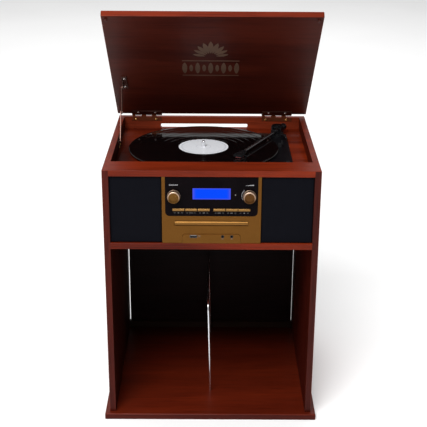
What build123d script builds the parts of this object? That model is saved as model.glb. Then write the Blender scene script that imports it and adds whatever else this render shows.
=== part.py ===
from build123d import *
import math
import os

# Radio phonograph console: gloss-finished wooden cabinet with an open record
# bay, a radio / disc-player panel between two speakers, a belt-driven
# turntable in a well under a hinged lid.
#
# Frame: millimetres, +Z up, +X to the right seen from the front, the front
# faces -Y. Origin at the bottom centre of the base board.

# ---------------------------------------------------------------- dimensions
CAB_W = 401.6            # cabinet outer width
BOARD = 12.0             # board thickness
CAB_FRONT = -183.0       # front edge of the side panels
CAB_BACK = 193.0         # back face of the cabinet
RIM_Z = 520.0            # top of the side panels and rails
BASE_W, BASE_D, BASE_T = 420.0, 386.0, 12.0
HALF_IN = CAB_W / 2 - BOARD          # 188.8, inner face of the side panels
SHELF_TOP = 376.5
SHELF_BOT = SHELF_TOP - BOARD        # 364.5, ceiling of the record bay
RAIL_BOT = RIM_Z - BOARD             # 508
RAIL_D = 54.0                        # depth of the top front rail
DECK_TOP = RIM_Z - 26.0              # 494
DECK_BOT = DECK_TOP - BOARD          # 482
PANEL_IN = CAB_BACK - BOARD          # 181, inner face of the upper back panel
HARDBOARD = 3.0
CLEAT_H = 14.0
EDGE_R = 1.5                         # eased outer edges of the boards

# turntable
SPX, SPY = -16.5, 24.0               # spindle centre
PLATE_T = 2.5
PLATE_X0, PLATE_X1, PLATE_Y0, PLATE_Y1 = -132.0, 158.0, -112.0, 140.0
WELL_R = 107.0
PLATTER_R = 103.0
DRIVE_R = 50.0                       # belt rim under the platter
PULLEY_R = 5.0
PULLEY_DX = 78.0                     # spindle to motor shaft
RECORD_R, RECORD_T = 150.8, 1.8      # 12 inch record
LABEL_R, LABEL_T = 50.0, 0.3
SPINDLE_R = 3.6
RUN = 0.05                           # running clearance on the radius
BELT_T, BELT_H = 0.6, 4.0
PLATTER_TOP = 500.0
REC_TOP = PLATTER_TOP + RECORD_T     # 501.8

# tone arm
ARM_X, ARM_Y = 138.0, 122.0
ARM_Z = 508.0                        # axis of the arm tube and lift pivot
ARM_DEG = 243.35                     # direction of the arm from +X
ARM_LEN = 190.0                      # pivot to stylus
REST_Y = 42.0                        # arm rest post
CUE_Y = 104.0                        # hinge of the cue lever

# lid and hinges
HINGE_Y, HINGE_Z = 183.5, 525.3
LID_OPEN = 43.5                      # degrees above the closed pose
LID_W, LID_D = 406.0, 372.0
LID_S0 = 3.5                         # lid rear edge, forward of the axis
LID_N0 = -1.3                        # lid underside, from the axis
BARREL_R, PIN_R = 2.5, 1.45
HINGE_X, HINGE_L = 140.0, 64.0
LEAF_T = 1.2
CAB_SCREW_DX, CAB_SCREW_Z = (-24.0, 20.0), 514.6

# lid stay, in (forward, up) coordinates measured from the hinge axis
PL_S, PL_N = 130.0, -9.3             # pivot on the lid
PW_F, PW_U = 140.0, -19.0            # pivot on the side panel
LOWER_L, UPPER_L = 60.5, 50.0
LINK_X = -186.8                      # inner face of the lower arm; the rest steps inwards

# control panel
FACE_Y = -181.0                      # front face of the fascia
FASCIA_T = 4.0
FASCIA_BACK = FACE_Y + FASCIA_T      # -177
FASCIA_HW = 92.0
WIN_HW, WIN_Z0, WIN_Z1 = 85.5, 431.0, 507.0
WIN_T = 1.8
LCD_HW, LCD_Z0, LCD_Z1 = 35.0, 463.6, 485.7
KNOB_X, KNOB_Z, KNOB_R = 69.7, 470.6, 12.2
KEY_W, KEY_H, KEY_Z = 22.0, 5.2, 443.6
KEY_X = [-61.2, -37.8, -14.4, 14.5, 37.5, 60.5]
TRAY_HW, TRAY_Z0, TRAY_Z1 = 67.5, 413.0, 420.6
TAB_HW, TAB_TOP = 54.5, 395.4
JACK_X, JACK_Z, JACK_R = (21.0, 38.0), 390.6, 1.8
USB_X, USB_Z = -33.5, 390.6
SPK_X, SPK_Z = 139.0, 442.0

os.makedirs("parts", exist_ok=True)


def save(ctx, label):
    ctx.part.label = label
    export_step(ctx.part, "parts/" + label + ".step")


def block(x0, x1, y0, y1, z0, z1, mode=Mode.ADD):
    """Axis-aligned block inside the current part."""
    with BuildSketch(Plane.XY.offset(z0)) as sk:
        with Locations(((x0 + x1) / 2, (y0 + y1) / 2)):
            Rectangle(x1 - x0, y1 - y0)
    extrude(sk.sketch, amount=z1 - z0, mode=mode)


def disc(x, y, z0, z1, r, mode=Mode.ADD):
    """Upright cylinder inside the current part."""
    with BuildSketch(Plane.XY.offset(z0)) as sk:
        with Locations((x, y)):
            Circle(r)
    extrude(sk.sketch, amount=z1 - z0, mode=mode)


def rod_y(x, z, y0, y1, r, mode=Mode.ADD):
    """Cylinder along Y from y0 back to y1 inside the current part."""
    with BuildSketch(Plane(origin=(x, y0, z), x_dir=(1, 0, 0), z_dir=(0, 1, 0))) as sk:
        Circle(r)
    extrude(sk.sketch, amount=y1 - y0, mode=mode)


def rod_x(y, z, x0, x1, r, mode=Mode.ADD):
    """Cylinder along X from x0 to x1 inside the current part."""
    with BuildSketch(Plane(origin=(x0, y, z), x_dir=(0, 1, 0), z_dir=(1, 0, 0))) as sk:
        Circle(r)
    extrude(sk.sketch, amount=x1 - x0, mode=mode)


# ------------------------------------------------------------ wooden carcass
DIV_LEAN = math.radians(1.5)
DIV_F, DIV_B, DIV_TOP, DIV_R = -102.0, 165.0, 212.0, 2.0
DIV_X = -0.5
# plane of the divider: local x runs back along +Y, local y runs up the lean
div_plane = Plane(origin=(DIV_X, 0, BASE_T), x_dir=(0, 1, 0),
                  z_dir=(math.cos(DIV_LEAN), 0, math.sin(DIV_LEAN)))
lean_up = Vector(-math.sin(DIV_LEAN), 0, math.cos(DIV_LEAN))

with BuildPart() as base_board:
    block(-BASE_W / 2, BASE_W / 2, -BASE_D / 2, BASE_D / 2, 0, BASE_T)
    fillet(base_board.edges().group_by(Axis.Z)[-1], 3.0)
    fillet(base_board.edges().filter_by(Axis.Z), 2.0)
    for leg_y in (DIV_F, DIV_B):
        foot = Vector(DIV_X, leg_y, BASE_T) - lean_up * 8.5
        with BuildSketch(Plane(origin=foot, x_dir=(0, 1, 0), z_dir=lean_up)):
            Circle(DIV_R + RUN)
        extrude(amount=12, mode=Mode.SUBTRACT)
save(base_board, "base_board")

with BuildPart() as side_panel_left:
    block(-CAB_W / 2, -HALF_IN, CAB_FRONT, CAB_BACK, BASE_T, RIM_Z)
    fillet(side_panel_left.edges().filter_by(Axis.Z).group_by(Axis.X)[0], EDGE_R)
    fillet(side_panel_left.edges().filter_by(Axis.Y).group_by(Axis.Z)[-1]
           .sort_by(Axis.X)[0], EDGE_R)
    # pilot holes of the stay bracket screws
    for sy, sz in ((HINGE_Y - PW_F - 9, HINGE_Z + PW_U - 9),
                   (HINGE_Y - PW_F + 9, HINGE_Z + PW_U - 9)):
        rod_x(sy, sz, -HALF_IN - 7, -HALF_IN, 1.25, mode=Mode.SUBTRACT)
save(side_panel_left, "side_panel_left")

with BuildPart() as side_panel_right:
    block(HALF_IN, CAB_W / 2, CAB_FRONT, CAB_BACK, BASE_T, RIM_Z)
    fillet(side_panel_right.edges().filter_by(Axis.Z).group_by(Axis.X)[-1], EDGE_R)
    fillet(side_panel_right.edges().filter_by(Axis.Y).group_by(Axis.Z)[-1]
           .sort_by(Axis.X)[-1], EDGE_R)
save(side_panel_right, "side_panel_right")

SHELF_BACK = CAB_BACK - HARDBOARD
with BuildPart() as bay_ceiling_shelf:
    block(-HALF_IN, HALF_IN, CAB_FRONT, SHELF_BACK, SHELF_BOT, SHELF_TOP)
    fillet(bay_ceiling_shelf.edges().filter_by(Axis.X).group_by(Axis.Y)[0], 1.0)
    for sx in (-165.0, -55.0, 55.0, 165.0):
        rod_y(sx, SHELF_BOT + 6, SHELF_BACK - 12, SHELF_BACK, 1.25, mode=Mode.SUBTRACT)
save(bay_ceiling_shelf, "bay_ceiling_shelf")

with BuildPart() as top_front_rail:
    block(-HALF_IN, HALF_IN, CAB_FRONT, CAB_FRONT + RAIL_D, RAIL_BOT, RIM_Z)
    fillet(top_front_rail.edges().filter_by(Axis.X).group_by(Axis.Y)[0], 1.0)
    fillet(top_front_rail.edges().filter_by(Axis.X).group_by(Axis.Y)[-1]
           .sort_by(Axis.Z)[-1], EDGE_R)
save(top_front_rail, "top_front_rail")

with BuildPart() as deck_board:
    block(-HALF_IN, HALF_IN, -169.0, PANEL_IN, DECK_BOT, DECK_TOP)
    disc(SPX, SPY, DECK_BOT, DECK_TOP, WELL_R + 3.0, mode=Mode.SUBTRACT)
    disc(ARM_X, ARM_Y, DECK_BOT, DECK_TOP, 8.0, mode=Mode.SUBTRACT)
    # pocket under the speed selector
    block(142.0, 154.0, -74.0, -42.0, DECK_TOP - 5.0, DECK_TOP, mode=Mode.SUBTRACT)
save(deck_board, "deck_board")

SLOT_X0, SLOT_X1, SLOT_Z0, SLOT_Z1 = -110.5, 77.5, 494.4, 504.8
CONN_X0, CONN_X1, CONN_Z0, CONN_Z1 = 80.0, 150.0, 404.0, 444.0
with BuildPart() as back_panel_upper:
    block(-HALF_IN, HALF_IN, PANEL_IN, CAB_BACK, SHELF_TOP, RIM_Z)
    fillet(back_panel_upper.edges().filter_by(Axis.X).group_by(Axis.Z)[-1]
           .sort_by(Axis.Y)[-1], EDGE_R)
    with BuildSketch(Plane(origin=(0, PANEL_IN, 0), x_dir=(1, 0, 0), z_dir=(0, -1, 0))):
        with Locations(((SLOT_X0 + SLOT_X1) / 2, (SLOT_Z0 + SLOT_Z1) / 2)):
            RectangleRounded(SLOT_X1 - SLOT_X0, SLOT_Z1 - SLOT_Z0, 3.2)
    extrude(amount=-BOARD, mode=Mode.SUBTRACT)
    # pocket for the connector plate, open to the back through a window
    block(CONN_X0, CONN_X1, PANEL_IN, PANEL_IN + 1.6, CONN_Z0, CONN_Z1, mode=Mode.SUBTRACT)
    block(CONN_X0 + 4, CONN_X1 - 4, PANEL_IN, CAB_BACK, CONN_Z0 + 4, CONN_Z1 - 4,
          mode=Mode.SUBTRACT)
    for hx in (-HINGE_X, HINGE_X):
        for dx in CAB_SCREW_DX:
            rod_y(hx + dx, CAB_SCREW_Z, PANEL_IN, PANEL_IN + 9.0, 1.25, mode=Mode.SUBTRACT)
save(back_panel_upper, "back_panel_upper")

GAP_L, GAP_R = 1.5, 0.8
with BuildPart() as back_panel_lower:
    block(-HALF_IN + GAP_L, HALF_IN - GAP_R, SHELF_BACK, CAB_BACK, BASE_T + 0.5, SHELF_TOP - 0.5)
    for sx in (-165.0, -55.0, 55.0, 165.0):
        for sz in (BASE_T + 8.0, SHELF_BOT + 6.0):
            rod_y(sx, sz, SHELF_BACK, CAB_BACK, 1.6, mode=Mode.SUBTRACT)
            rod_y(sx, sz, CAB_BACK - 1.4, CAB_BACK, 3.2, mode=Mode.SUBTRACT)
save(back_panel_lower, "back_panel_lower")

with BuildPart() as back_cleat:
    block(-HALF_IN, HALF_IN, SHELF_BACK - BOARD, SHELF_BACK, BASE_T, BASE_T + CLEAT_H)
    for sx in (-165.0, -55.0, 55.0, 165.0):
        rod_y(sx, BASE_T + 8.0, SHELF_BACK - 10.0, SHELF_BACK, 1.25, mode=Mode.SUBTRACT)
save(back_cleat, "back_cleat")

# wood screws: eight with sunk heads hold the lower back panel, four the cabinet
# leaves of the hinges, two the wall bracket of the stay
with BuildPart() as cabinet_screws:
    for sx in (-165.0, -55.0, 55.0, 165.0):
        for sz in (BASE_T + 8.0, SHELF_BOT + 6.0):
            rod_y(sx, sz, SHELF_BACK - 8.0, CAB_BACK - 1.4, 1.2)
            rod_y(sx, sz, CAB_BACK - 1.4, CAB_BACK, 3.0)
    for hx in (-HINGE_X, HINGE_X):
        for dx in CAB_SCREW_DX:
            rod_y(hx + dx, CAB_SCREW_Z, PANEL_IN - LEAF_T, PANEL_IN + 8.0, 1.2)
            rod_y(hx + dx, CAB_SCREW_Z, PANEL_IN - LEAF_T - 1.3, PANEL_IN - LEAF_T, 2.5)
    for sy in (HINGE_Y - PW_F - 9, HINGE_Y - PW_F + 9):
        rod_x(sy, HINGE_Z + PW_U - 9, -HALF_IN - 6, -HALF_IN + 1.5, 1.2)
        rod_x(sy, HINGE_Z + PW_U - 9, -HALF_IN + 1.5, -HALF_IN + 2.5, 2.4)
save(cabinet_screws, "cabinet_screws")

# chrome wire divider: inverted U standing in the base board
with BuildPart() as record_divider:
    with BuildLine(div_plane) as wire:
        FilletPolyline((DIV_F, -8.0), (DIV_F, DIV_TOP - BASE_T), (DIV_B, DIV_TOP - BASE_T),
                       (DIV_B, -8.0), radius=20.0)
    with BuildSketch(Plane(origin=wire.line @ 0, x_dir=(0, 1, 0), z_dir=wire.line % 0)):
        Circle(DIV_R)
    sweep(path=wire.line)
save(record_divider, "record_divider")

# ------------------------------------------------------------- front section
with BuildPart() as front_baffle:
    block(-HALF_IN, HALF_IN, FASCIA_BACK, -169.0, SHELF_TOP, RAIL_BOT)
    block(-88.0, 88.0, FASCIA_BACK, -169.0, SHELF_TOP + 4.0, RAIL_BOT - 4.0, mode=Mode.SUBTRACT)
    for sx in (-SPK_X, SPK_X):
        rod_y(sx, SPK_Z, FASCIA_BACK, -169.0, 33.0, mode=Mode.SUBTRACT)
save(front_baffle, "front_baffle")

# drivers: pressed frame with magnet, axis along Y, mouth to the front
with BuildPart() as speaker_frames:
    for sx in (-SPK_X, SPK_X):
        with BuildSketch(Plane(origin=(sx, -169.0, SPK_Z), x_dir=(1, 0, 0),
                               z_dir=(0, 0, 1))):
            with BuildLine():
                Polyline((28.5, 0.0), (38.0, 0.0), (38.0, 1.6), (31.5, 1.6), (19.0, 20.0),
                         (22.0, 20.0), (22.0, 34.0), (0.0, 34.0), (0.0, 19.0), (16.5, 19.0),
                         (28.5, 1.4), (28.5, 0.0))
            make_face()
        revolve(axis=Axis((sx, 0, SPK_Z), (0, 1, 0)))
save(speaker_frames, "speaker_frames")

with BuildPart() as speaker_cones:
    for sx in (-SPK_X, SPK_X):
        with BuildSketch(Plane(origin=(sx, -169.0, SPK_Z), x_dir=(1, 0, 0),
                               z_dir=(0, 0, 1))):
            with BuildLine():
                Polyline((0.0, 8.0), (6.0, 9.5), (10.0, 13.5), (25.5, -0.4), (28.2, -2.0),
                         (28.2, -0.6), (26.2, 0.6), (10.5, 15.0), (8.0, 18.0), (0.0, 18.0),
                         (0.0, 8.0))
            make_face()
        revolve(axis=Axis((sx, 0, SPK_Z), (0, 1, 0)))
save(speaker_cones, "speaker_cones")

# speaker cloth, stretched over the baffle on each side of the fascia
with BuildPart() as grille_left:
    block(-HALF_IN, -FASCIA_HW, FASCIA_BACK - 1.5, FASCIA_BACK, SHELF_TOP, RAIL_BOT)
save(grille_left, "grille_left")

with BuildPart() as grille_right:
    block(FASCIA_HW, HALF_IN, FASCIA_BACK - 1.5, FASCIA_BACK, SHELF_TOP, RAIL_BOT)
save(grille_right, "grille_right")

front = Plane(origin=(0, FACE_Y, 0), x_dir=(1, 0, 0), z_dir=(0, -1, 0))


def window_outline(grow, top):
    """Window profile: square top, rounded bottom corners."""
    r = 8.0 + grow
    hw = WIN_HW + grow
    z0 = WIN_Z0 - grow
    with BuildLine() as ln:
        Line((-hw, top), (hw, top))
        Line((hw, top), (hw, z0 + r))
        CenterArc((hw - r, z0 + r), r, 0, -90)
        Line((hw - r, z0), (-hw + r, z0))
        CenterArc((-hw + r, z0 + r), r, 270, -90)
        Line((-hw, z0 + r), (-hw, top))
    make_face(ln.line.edges())


with BuildPart() as fascia:
    block(-FASCIA_HW, FASCIA_HW, FACE_Y, FASCIA_BACK, SHELF_TOP, RAIL_BOT)
    fillet(fascia.edges().filter_by(Axis.Z).group_by(Axis.Y)[0], 0.8)
    # raised tab that carries the front sockets
    with BuildSketch(front):
        with BuildLine():
            Line((-TAB_HW, SHELF_TOP), (TAB_HW, SHELF_TOP))
            Line((TAB_HW, SHELF_TOP), (TAB_HW, TAB_TOP - 6))
            CenterArc((TAB_HW - 6, TAB_TOP - 6), 6, 0, 90)
            Line((TAB_HW - 6, TAB_TOP), (-TAB_HW + 6, TAB_TOP))
            CenterArc((-TAB_HW + 6, TAB_TOP - 6), 6, 90, 90)
            Line((-TAB_HW, TAB_TOP - 6), (-TAB_HW, SHELF_TOP))
        make_face()
    extrude(amount=1.2, taper=20)
    # recess of the display window
    with BuildSketch(front):
        window_outline(0.15, RAIL_BOT)
    extrude(amount=-WIN_T, mode=Mode.SUBTRACT)
    # shallow surround of the disc tray, then the tray slot
    with BuildSketch(front):
        with Locations((0, (TRAY_Z0 + TRAY_Z1) / 2)):
            RectangleRounded(2 * TRAY_HW + 3.0, TRAY_Z1 - TRAY_Z0 + 2.6, 1.5)
    extrude(amount=-1.0, mode=Mode.SUBTRACT)
    with BuildSketch(front):
        with Locations((0, (TRAY_Z0 + TRAY_Z1) / 2)):
            RectangleRounded(2 * TRAY_HW + 0.8, TRAY_Z1 - TRAY_Z0 + 0.8, 1.0)
    extrude(amount=-FASCIA_T, mode=Mode.SUBTRACT)
    with BuildSketch(front):
        with Locations((0, (LCD_Z0 + LCD_Z1) / 2)):
            Rectangle(2 * LCD_HW, LCD_Z1 - LCD_Z0)
        for kx in KEY_X:
            with Locations((kx, KEY_Z)):
                Rectangle(KEY_W + 0.6, KEY_H + 0.6)
        with Locations((-KNOB_X, KNOB_Z), (KNOB_X, KNOB_Z)):
            Circle(3.5)
    extrude(amount=-FASCIA_T, mode=Mode.SUBTRACT)
    for jx in JACK_X:
        rod_y(jx, JACK_Z, FACE_Y - 2, FASCIA_BACK, 3.05, mode=Mode.SUBTRACT)
    block(USB_X - 6.75, USB_X + 6.75, FACE_Y - 2, FASCIA_BACK, USB_Z - 2.85, USB_Z + 2.85,
          mode=Mode.SUBTRACT)
save(fascia, "fascia")

with BuildPart() as display_window:
    with BuildSketch(front.offset(-WIN_T)):
        window_outline(0.0, WIN_Z1)
        with Locations((0, (LCD_Z0 + LCD_Z1) / 2)):
            Rectangle(2 * LCD_HW, LCD_Z1 - LCD_Z0, mode=Mode.SUBTRACT)
        for kx in KEY_X:
            with Locations((kx, KEY_Z)):
                Rectangle(KEY_W + 0.6, KEY_H + 0.6, mode=Mode.SUBTRACT)
        with Locations((-KNOB_X, KNOB_Z), (KNOB_X, KNOB_Z)):
            Circle(3.5, mode=Mode.SUBTRACT)
    extrude(amount=WIN_T + 0.3)
    chamfer(display_window.faces().sort_by(Axis.Y)[0].outer_wire().edges(), 0.25)
save(display_window, "display_window")

BOARD_Y = -172.4                     # front face of the circuit board
with BuildPart() as lcd_panel:
    block(-LCD_HW + 0.2, LCD_HW - 0.2, FACE_Y + 0.5, FASCIA_BACK + 0.2, LCD_Z0 + 0.2, LCD_Z1 - 0.2)
    block(-LCD_HW - 5, LCD_HW + 5, FASCIA_BACK + 0.1, BOARD_Y, LCD_Z0 - 5, LCD_Z1 + 5)
save(lcd_panel, "lcd_panel")

with BuildPart() as circuit_board:
    block(-86.0, 86.0, BOARD_Y, BOARD_Y + 1.6, 430.0, 502.0)
    # regulator and amplifier packages on the back
    block(-70.0, -45.0, BOARD_Y + 1.6, BOARD_Y + 9.0, 440.0, 452.0)
    block(30.0, 60.0, BOARD_Y + 1.6, BOARD_Y + 7.0, 456.0, 476.0)
    for cx in (-20.0, -5.0, 10.0):
        rod_y(cx, 450.0, BOARD_Y + 1.6, BOARD_Y + 14.0, 4.0)
save(circuit_board, "circuit_board")

# rotary encoder and potentiometer bodies, and the six tact switches
with BuildPart() as board_switches:
    for kx in (-KNOB_X, KNOB_X):
        block(kx - 8.0, kx + 8.0, FASCIA_BACK + 0.4, BOARD_Y, KNOB_Z - 8.0, KNOB_Z + 8.0)
        rod_y(kx, KNOB_Z, FASCIA_BACK + 0.4, BOARD_Y - 0.6, 3.05, mode=Mode.SUBTRACT)
    for kx in KEY_X:
        block(kx - 3.0, kx + 3.0, BOARD_Y - 2.25, BOARD_Y, KEY_Z - 3.0, KEY_Z + 3.0)
save(board_switches, "board_switches")

KNOB_FRONT = -192.9
KNOB_BACK = FACE_Y - 0.9


def knob(kx, pointer):
    """Spun knob with a dished face, a skirt edge and its shaft."""
    kp = Plane(origin=(kx, 0, KNOB_Z), x_dir=(1, 0, 0), z_dir=(0, 0, 1))
    with BuildSketch(kp) as sk:
        with BuildLine():
            Polyline((0, KNOB_FRONT + 0.8), (8.6, KNOB_FRONT + 0.8), (9.6, KNOB_FRONT),
                     (10.6, KNOB_FRONT), (11.6, KNOB_FRONT + 1.0), (KNOB_R, KNOB_BACK - 1.0),
                     (KNOB_R, KNOB_BACK), (9.5, KNOB_BACK), (9.5, KNOB_BACK - 7.0),
                     (5.0, KNOB_BACK - 7.0), (5.0, KNOB_BACK), (3.0, KNOB_BACK),
                     (3.0, BOARD_Y - 0.8), (0, BOARD_Y - 0.8), (0, KNOB_FRONT + 0.8))
        make_face()
    revolve(sk.sketch, axis=Axis((kx, 0, KNOB_Z), (0, 1, 0)))
    if pointer:
        block(kx - 0.6, kx + 0.6, KNOB_FRONT - 0.0, KNOB_FRONT + 1.0, KNOB_Z + 4.5,
              KNOB_Z + 8.4)


with BuildPart() as tuning_knob:
    knob(-KNOB_X, False)
save(tuning_knob, "tuning_knob")

with BuildPart() as volume_knob:
    knob(KNOB_X, True)
save(volume_knob, "volume_knob")

# six keys in two groups of three; each has a flange behind the fascia and a
# stem that works its tact switch after 1 mm
key_parts = []
for i, kx in enumerate(KEY_X):
    with BuildPart() as key:
        block(kx - KEY_W / 2, kx + KEY_W / 2, FACE_Y - 2.2, FASCIA_BACK + 0.3,
              KEY_Z - KEY_H / 2, KEY_Z + KEY_H / 2)
        fillet(key.edges().filter_by(Axis.X).group_by(Axis.Y)[0], 1.6)
        fillet(key.edges().filter_by(Axis.Z).group_by(Axis.Y)[0], 0.5)
        block(kx - KEY_W / 2 + 1.0, kx + KEY_W / 2 - 1.0, FASCIA_BACK + 0.1, FASCIA_BACK + 1.1,
              KEY_Z - KEY_H / 2 - 1.4, KEY_Z + KEY_H / 2 + 1.4)
    save(key, "key_%d" % (i + 1))

# ----------------------------------------------------------------- disc tray
with BuildPart() as cd_tray:
    block(-TRAY_HW + 1.3, TRAY_HW - 1.3, FACE_Y + 1.0, -46.0, TRAY_Z0 + 0.8, TRAY_Z0 + 6.0)
    disc(0, -112.0, TRAY_Z0 + 3.4, TRAY_Z0 + 7.0, 61.0, mode=Mode.SUBTRACT)
    disc(0, -112.0, TRAY_Z0 + 0.2, TRAY_Z0 + 7.0, 19.0, mode=Mode.SUBTRACT)
    block(-16.0, 16.0, -112.0, -60.0, TRAY_Z0 + 0.2, TRAY_Z0 + 7.0, mode=Mode.SUBTRACT)
    with BuildSketch(Plane(origin=(-TRAY_HW, 0, 0), x_dir=(0, 1, 0), z_dir=(1, 0, 0))):
        with BuildLine():
            Line((FACE_Y + 2.0, TRAY_Z0), (FACE_Y + 2.0, TRAY_Z1))
            Line((FACE_Y + 2.0, TRAY_Z1), (FACE_Y + 0.2, TRAY_Z1))
            ThreePointArc((FACE_Y + 0.2, TRAY_Z1), (FACE_Y - 2.0, (TRAY_Z0 + TRAY_Z1) / 2),
                          (FACE_Y + 0.2, TRAY_Z0))
            Line((FACE_Y + 0.2, TRAY_Z0), (FACE_Y + 2.0, TRAY_Z0))
        make_face()
    extrude(amount=2 * TRAY_HW)
save(cd_tray, "cd_tray")

with BuildPart() as cd_drive_housing:
    block(-71.0, 71.0, -168.5, -28.0, 407.0, 431.0)
    block(-69.8, 69.8, -168.6, -29.2, 408.2, 429.8, mode=Mode.SUBTRACT)
    # hub motor and pickup under the tray, standing on the housing floor
    disc(0, -112.0, 408.2, 413.0, 12.0)
    disc(0, -112.0, 413.0, 413.5, 7.0)
    block(-12.0, 12.0, -92.0, -66.0, 408.2, 413.2)
    # feet on the shelf
    for fx in (-60.0, 60.0):
        for fy in (-158.0, -40.0):
            disc(fx, fy, SHELF_TOP, 407.0, 4.0)
save(cd_drive_housing, "cd_drive_housing")

with BuildPart() as front_jacks:
    for jx in JACK_X:
        rod_y(jx, JACK_Z, FACE_Y - 1.2, FASCIA_BACK, 3.0)
        block(jx - 4.5, jx + 4.5, FASCIA_BACK, FASCIA_BACK + 13.0, JACK_Z - 4.5, JACK_Z + 4.5)
        rod_y(jx, JACK_Z, FACE_Y - 1.2, FACE_Y - 1.2 + 15.0, JACK_R, mode=Mode.SUBTRACT)
save(front_jacks, "front_jacks")

with BuildPart() as usb_socket:
    block(USB_X - 6.6, USB_X + 6.6, FACE_Y - 1.1, FASCIA_BACK + 10.0, USB_Z - 2.7, USB_Z + 2.7)
    block(USB_X - 6.2, USB_X + 6.2, FACE_Y - 1.2, FASCIA_BACK + 9.4, USB_Z - 2.3, USB_Z + 2.3,
          mode=Mode.SUBTRACT)
    block(USB_X - 5.4, USB_X + 5.4, FACE_Y + 0.4, FASCIA_BACK + 9.5, USB_Z + 0.2, USB_Z + 2.3)
save(usb_socket, "usb_socket")

with BuildPart() as rear_connector_plate:
    block(CONN_X0 + 0.2, CONN_X1 - 0.2, PANEL_IN, PANEL_IN + 1.5, CONN_Z0 + 0.2, CONN_Z1 - 0.2)
    # two line-out sockets and the figure-of-eight mains inlet
    for jx in (100.0, 114.0):
        rod_y(jx, 424.0, PANEL_IN + 1.5, PANEL_IN + 10.0, 4.2)
        rod_y(jx, 424.0, PANEL_IN + 3.0, PANEL_IN + 10.0, 1.6, mode=Mode.SUBTRACT)
    block(124.0, 144.0, PANEL_IN - 14.0, PANEL_IN + 4.0, 418.0, 430.0)
    for ix in (130.5, 137.5):
        rod_y(ix, 424.0, PANEL_IN - 10.0, PANEL_IN + 4.0, 3.4, mode=Mode.SUBTRACT)
        rod_y(ix, 424.0, PANEL_IN - 12.0, PANEL_IN + 1.0, 1.1)
save(rear_connector_plate, "rear_connector_plate")

with BuildPart() as power_transformer:
    block(-160.0, -104.0, 60.0, 82.0, SHELF_TOP, SHELF_TOP + 46.0)
    with BuildSketch(Plane(origin=(-132.0, 50.0, SHELF_TOP + 23.0), x_dir=(1, 0, 0),
                           z_dir=(0, 1, 0))):
        RectangleRounded(34.0, 30.0, 5.0)
    extrude(amount=42.0)
    block(-170.0, -94.0, 66.0, 76.0, SHELF_TOP, SHELF_TOP + 1.5)
save(power_transformer, "power_transformer")

# ----------------------------------------------------------------- turntable
WELL_FLOOR = 484.0
with BuildPart() as turntable_plate:
    with BuildSketch(Plane.XY.offset(DECK_TOP)):
        with Locations(((PLATE_X0 + PLATE_X1) / 2, (PLATE_Y0 + PLATE_Y1) / 2)):
            RectangleRounded(PLATE_X1 - PLATE_X0, PLATE_Y1 - PLATE_Y0, 12.0)
    extrude(amount=PLATE_T)
    chamfer(turntable_plate.edges().group_by(Axis.Z)[-1], 0.8)
    disc(SPX, SPY, WELL_FLOOR - 2.0, DECK_TOP + PLATE_T, WELL_R + 2.0)
    disc(SPX, SPY, WELL_FLOOR, DECK_TOP + PLATE_T, WELL_R, mode=Mode.SUBTRACT)
    # spindle boss
    disc(SPX, SPY, WELL_FLOOR - 12.0, WELL_FLOOR + 1.2, 9.0)
    disc(SPX, SPY, WELL_FLOOR - 12.0, WELL_FLOOR + 1.2, SPINDLE_R, mode=Mode.SUBTRACT)
    # hole for the motor shaft
    disc(SPX - PULLEY_DX, SPY, WELL_FLOOR - 2.0, WELL_FLOOR, 4.0, mode=Mode.SUBTRACT)
    # hole for the arm wires under the turret
    disc(ARM_X, ARM_Y, DECK_TOP, DECK_TOP + PLATE_T, 5.0, mode=Mode.SUBTRACT)
    # slot of the speed selector
    block(146.6, 149.4, -68.0, -48.0, DECK_TOP - 0.1, DECK_TOP + PLATE_T + 0.1, mode=Mode.SUBTRACT)
    # ears of the cue lever with its fixed pin
    block(149.0, 150.6, CUE_Y - 3.0, CUE_Y + 3.0, DECK_TOP + PLATE_T, 504.5)
    rod_x(CUE_Y, 502.0, 150.6, 155.6, 1.5)
save(turntable_plate, "turntable_plate")

with BuildPart() as spindle:
    disc(SPX, SPY, WELL_FLOOR - 12.0, 514.5, SPINDLE_R)
    fillet(spindle.edges().group_by(Axis.Z)[-1], 2.4)
save(spindle, "spindle")

with BuildPart() as platter:
    disc(SPX, SPY, 495.6, PLATTER_TOP, PLATTER_R)
    chamfer(platter.edges().group_by(Axis.Z)[-1], 1.2)
    disc(SPX, SPY, 487.5, 495.6, DRIVE_R)
    disc(SPX, SPY, 487.5, 495.6, DRIVE_R - 3.0, mode=Mode.SUBTRACT)
    disc(SPX, SPY, 485.4, 496.0, 8.0)
    disc(SPX, SPY, 485.0, 501.0, SPINDLE_R + RUN, mode=Mode.SUBTRACT)
save(platter, "platter")

with BuildPart() as record:
    disc(SPX, SPY, PLATTER_TOP, REC_TOP, RECORD_R)
    chamfer(record.edges().group_by(Axis.Z)[-1], 0.5)
    disc(SPX, SPY, PLATTER_TOP, REC_TOP, SPINDLE_R + RUN, mode=Mode.SUBTRACT)
save(record, "record")

with BuildPart() as record_label:
    disc(SPX, SPY, REC_TOP, REC_TOP + LABEL_T, LABEL_R)
    disc(SPX, SPY, REC_TOP, REC_TOP + LABEL_T, SPINDLE_R + RUN, mode=Mode.SUBTRACT)
save(record_label, "record_label")

MX = SPX - PULLEY_DX
with BuildPart() as motor:
    disc(MX, SPY, WELL_FLOOR - 2.0 - 24.0, WELL_FLOOR - 2.0, 15.0)
    fillet(motor.edges().group_by(Axis.Z)[0], 2.0)
    disc(MX, SPY, WELL_FLOOR - 2.0, 494.6, 1.0)
save(motor, "motor")

with BuildPart() as motor_pulley:
    disc(MX, SPY, 486.5, 494.2, PULLEY_R)
    disc(MX, SPY, 486.5, 487.3, PULLEY_R + 1.5)
    disc(MX, SPY, 493.4, 494.2, PULLEY_R + 1.5)
    disc(MX, SPY, 486.0, 495.0, 1.0 + RUN, mode=Mode.SUBTRACT)
save(motor_pulley, "motor_pulley")


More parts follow.
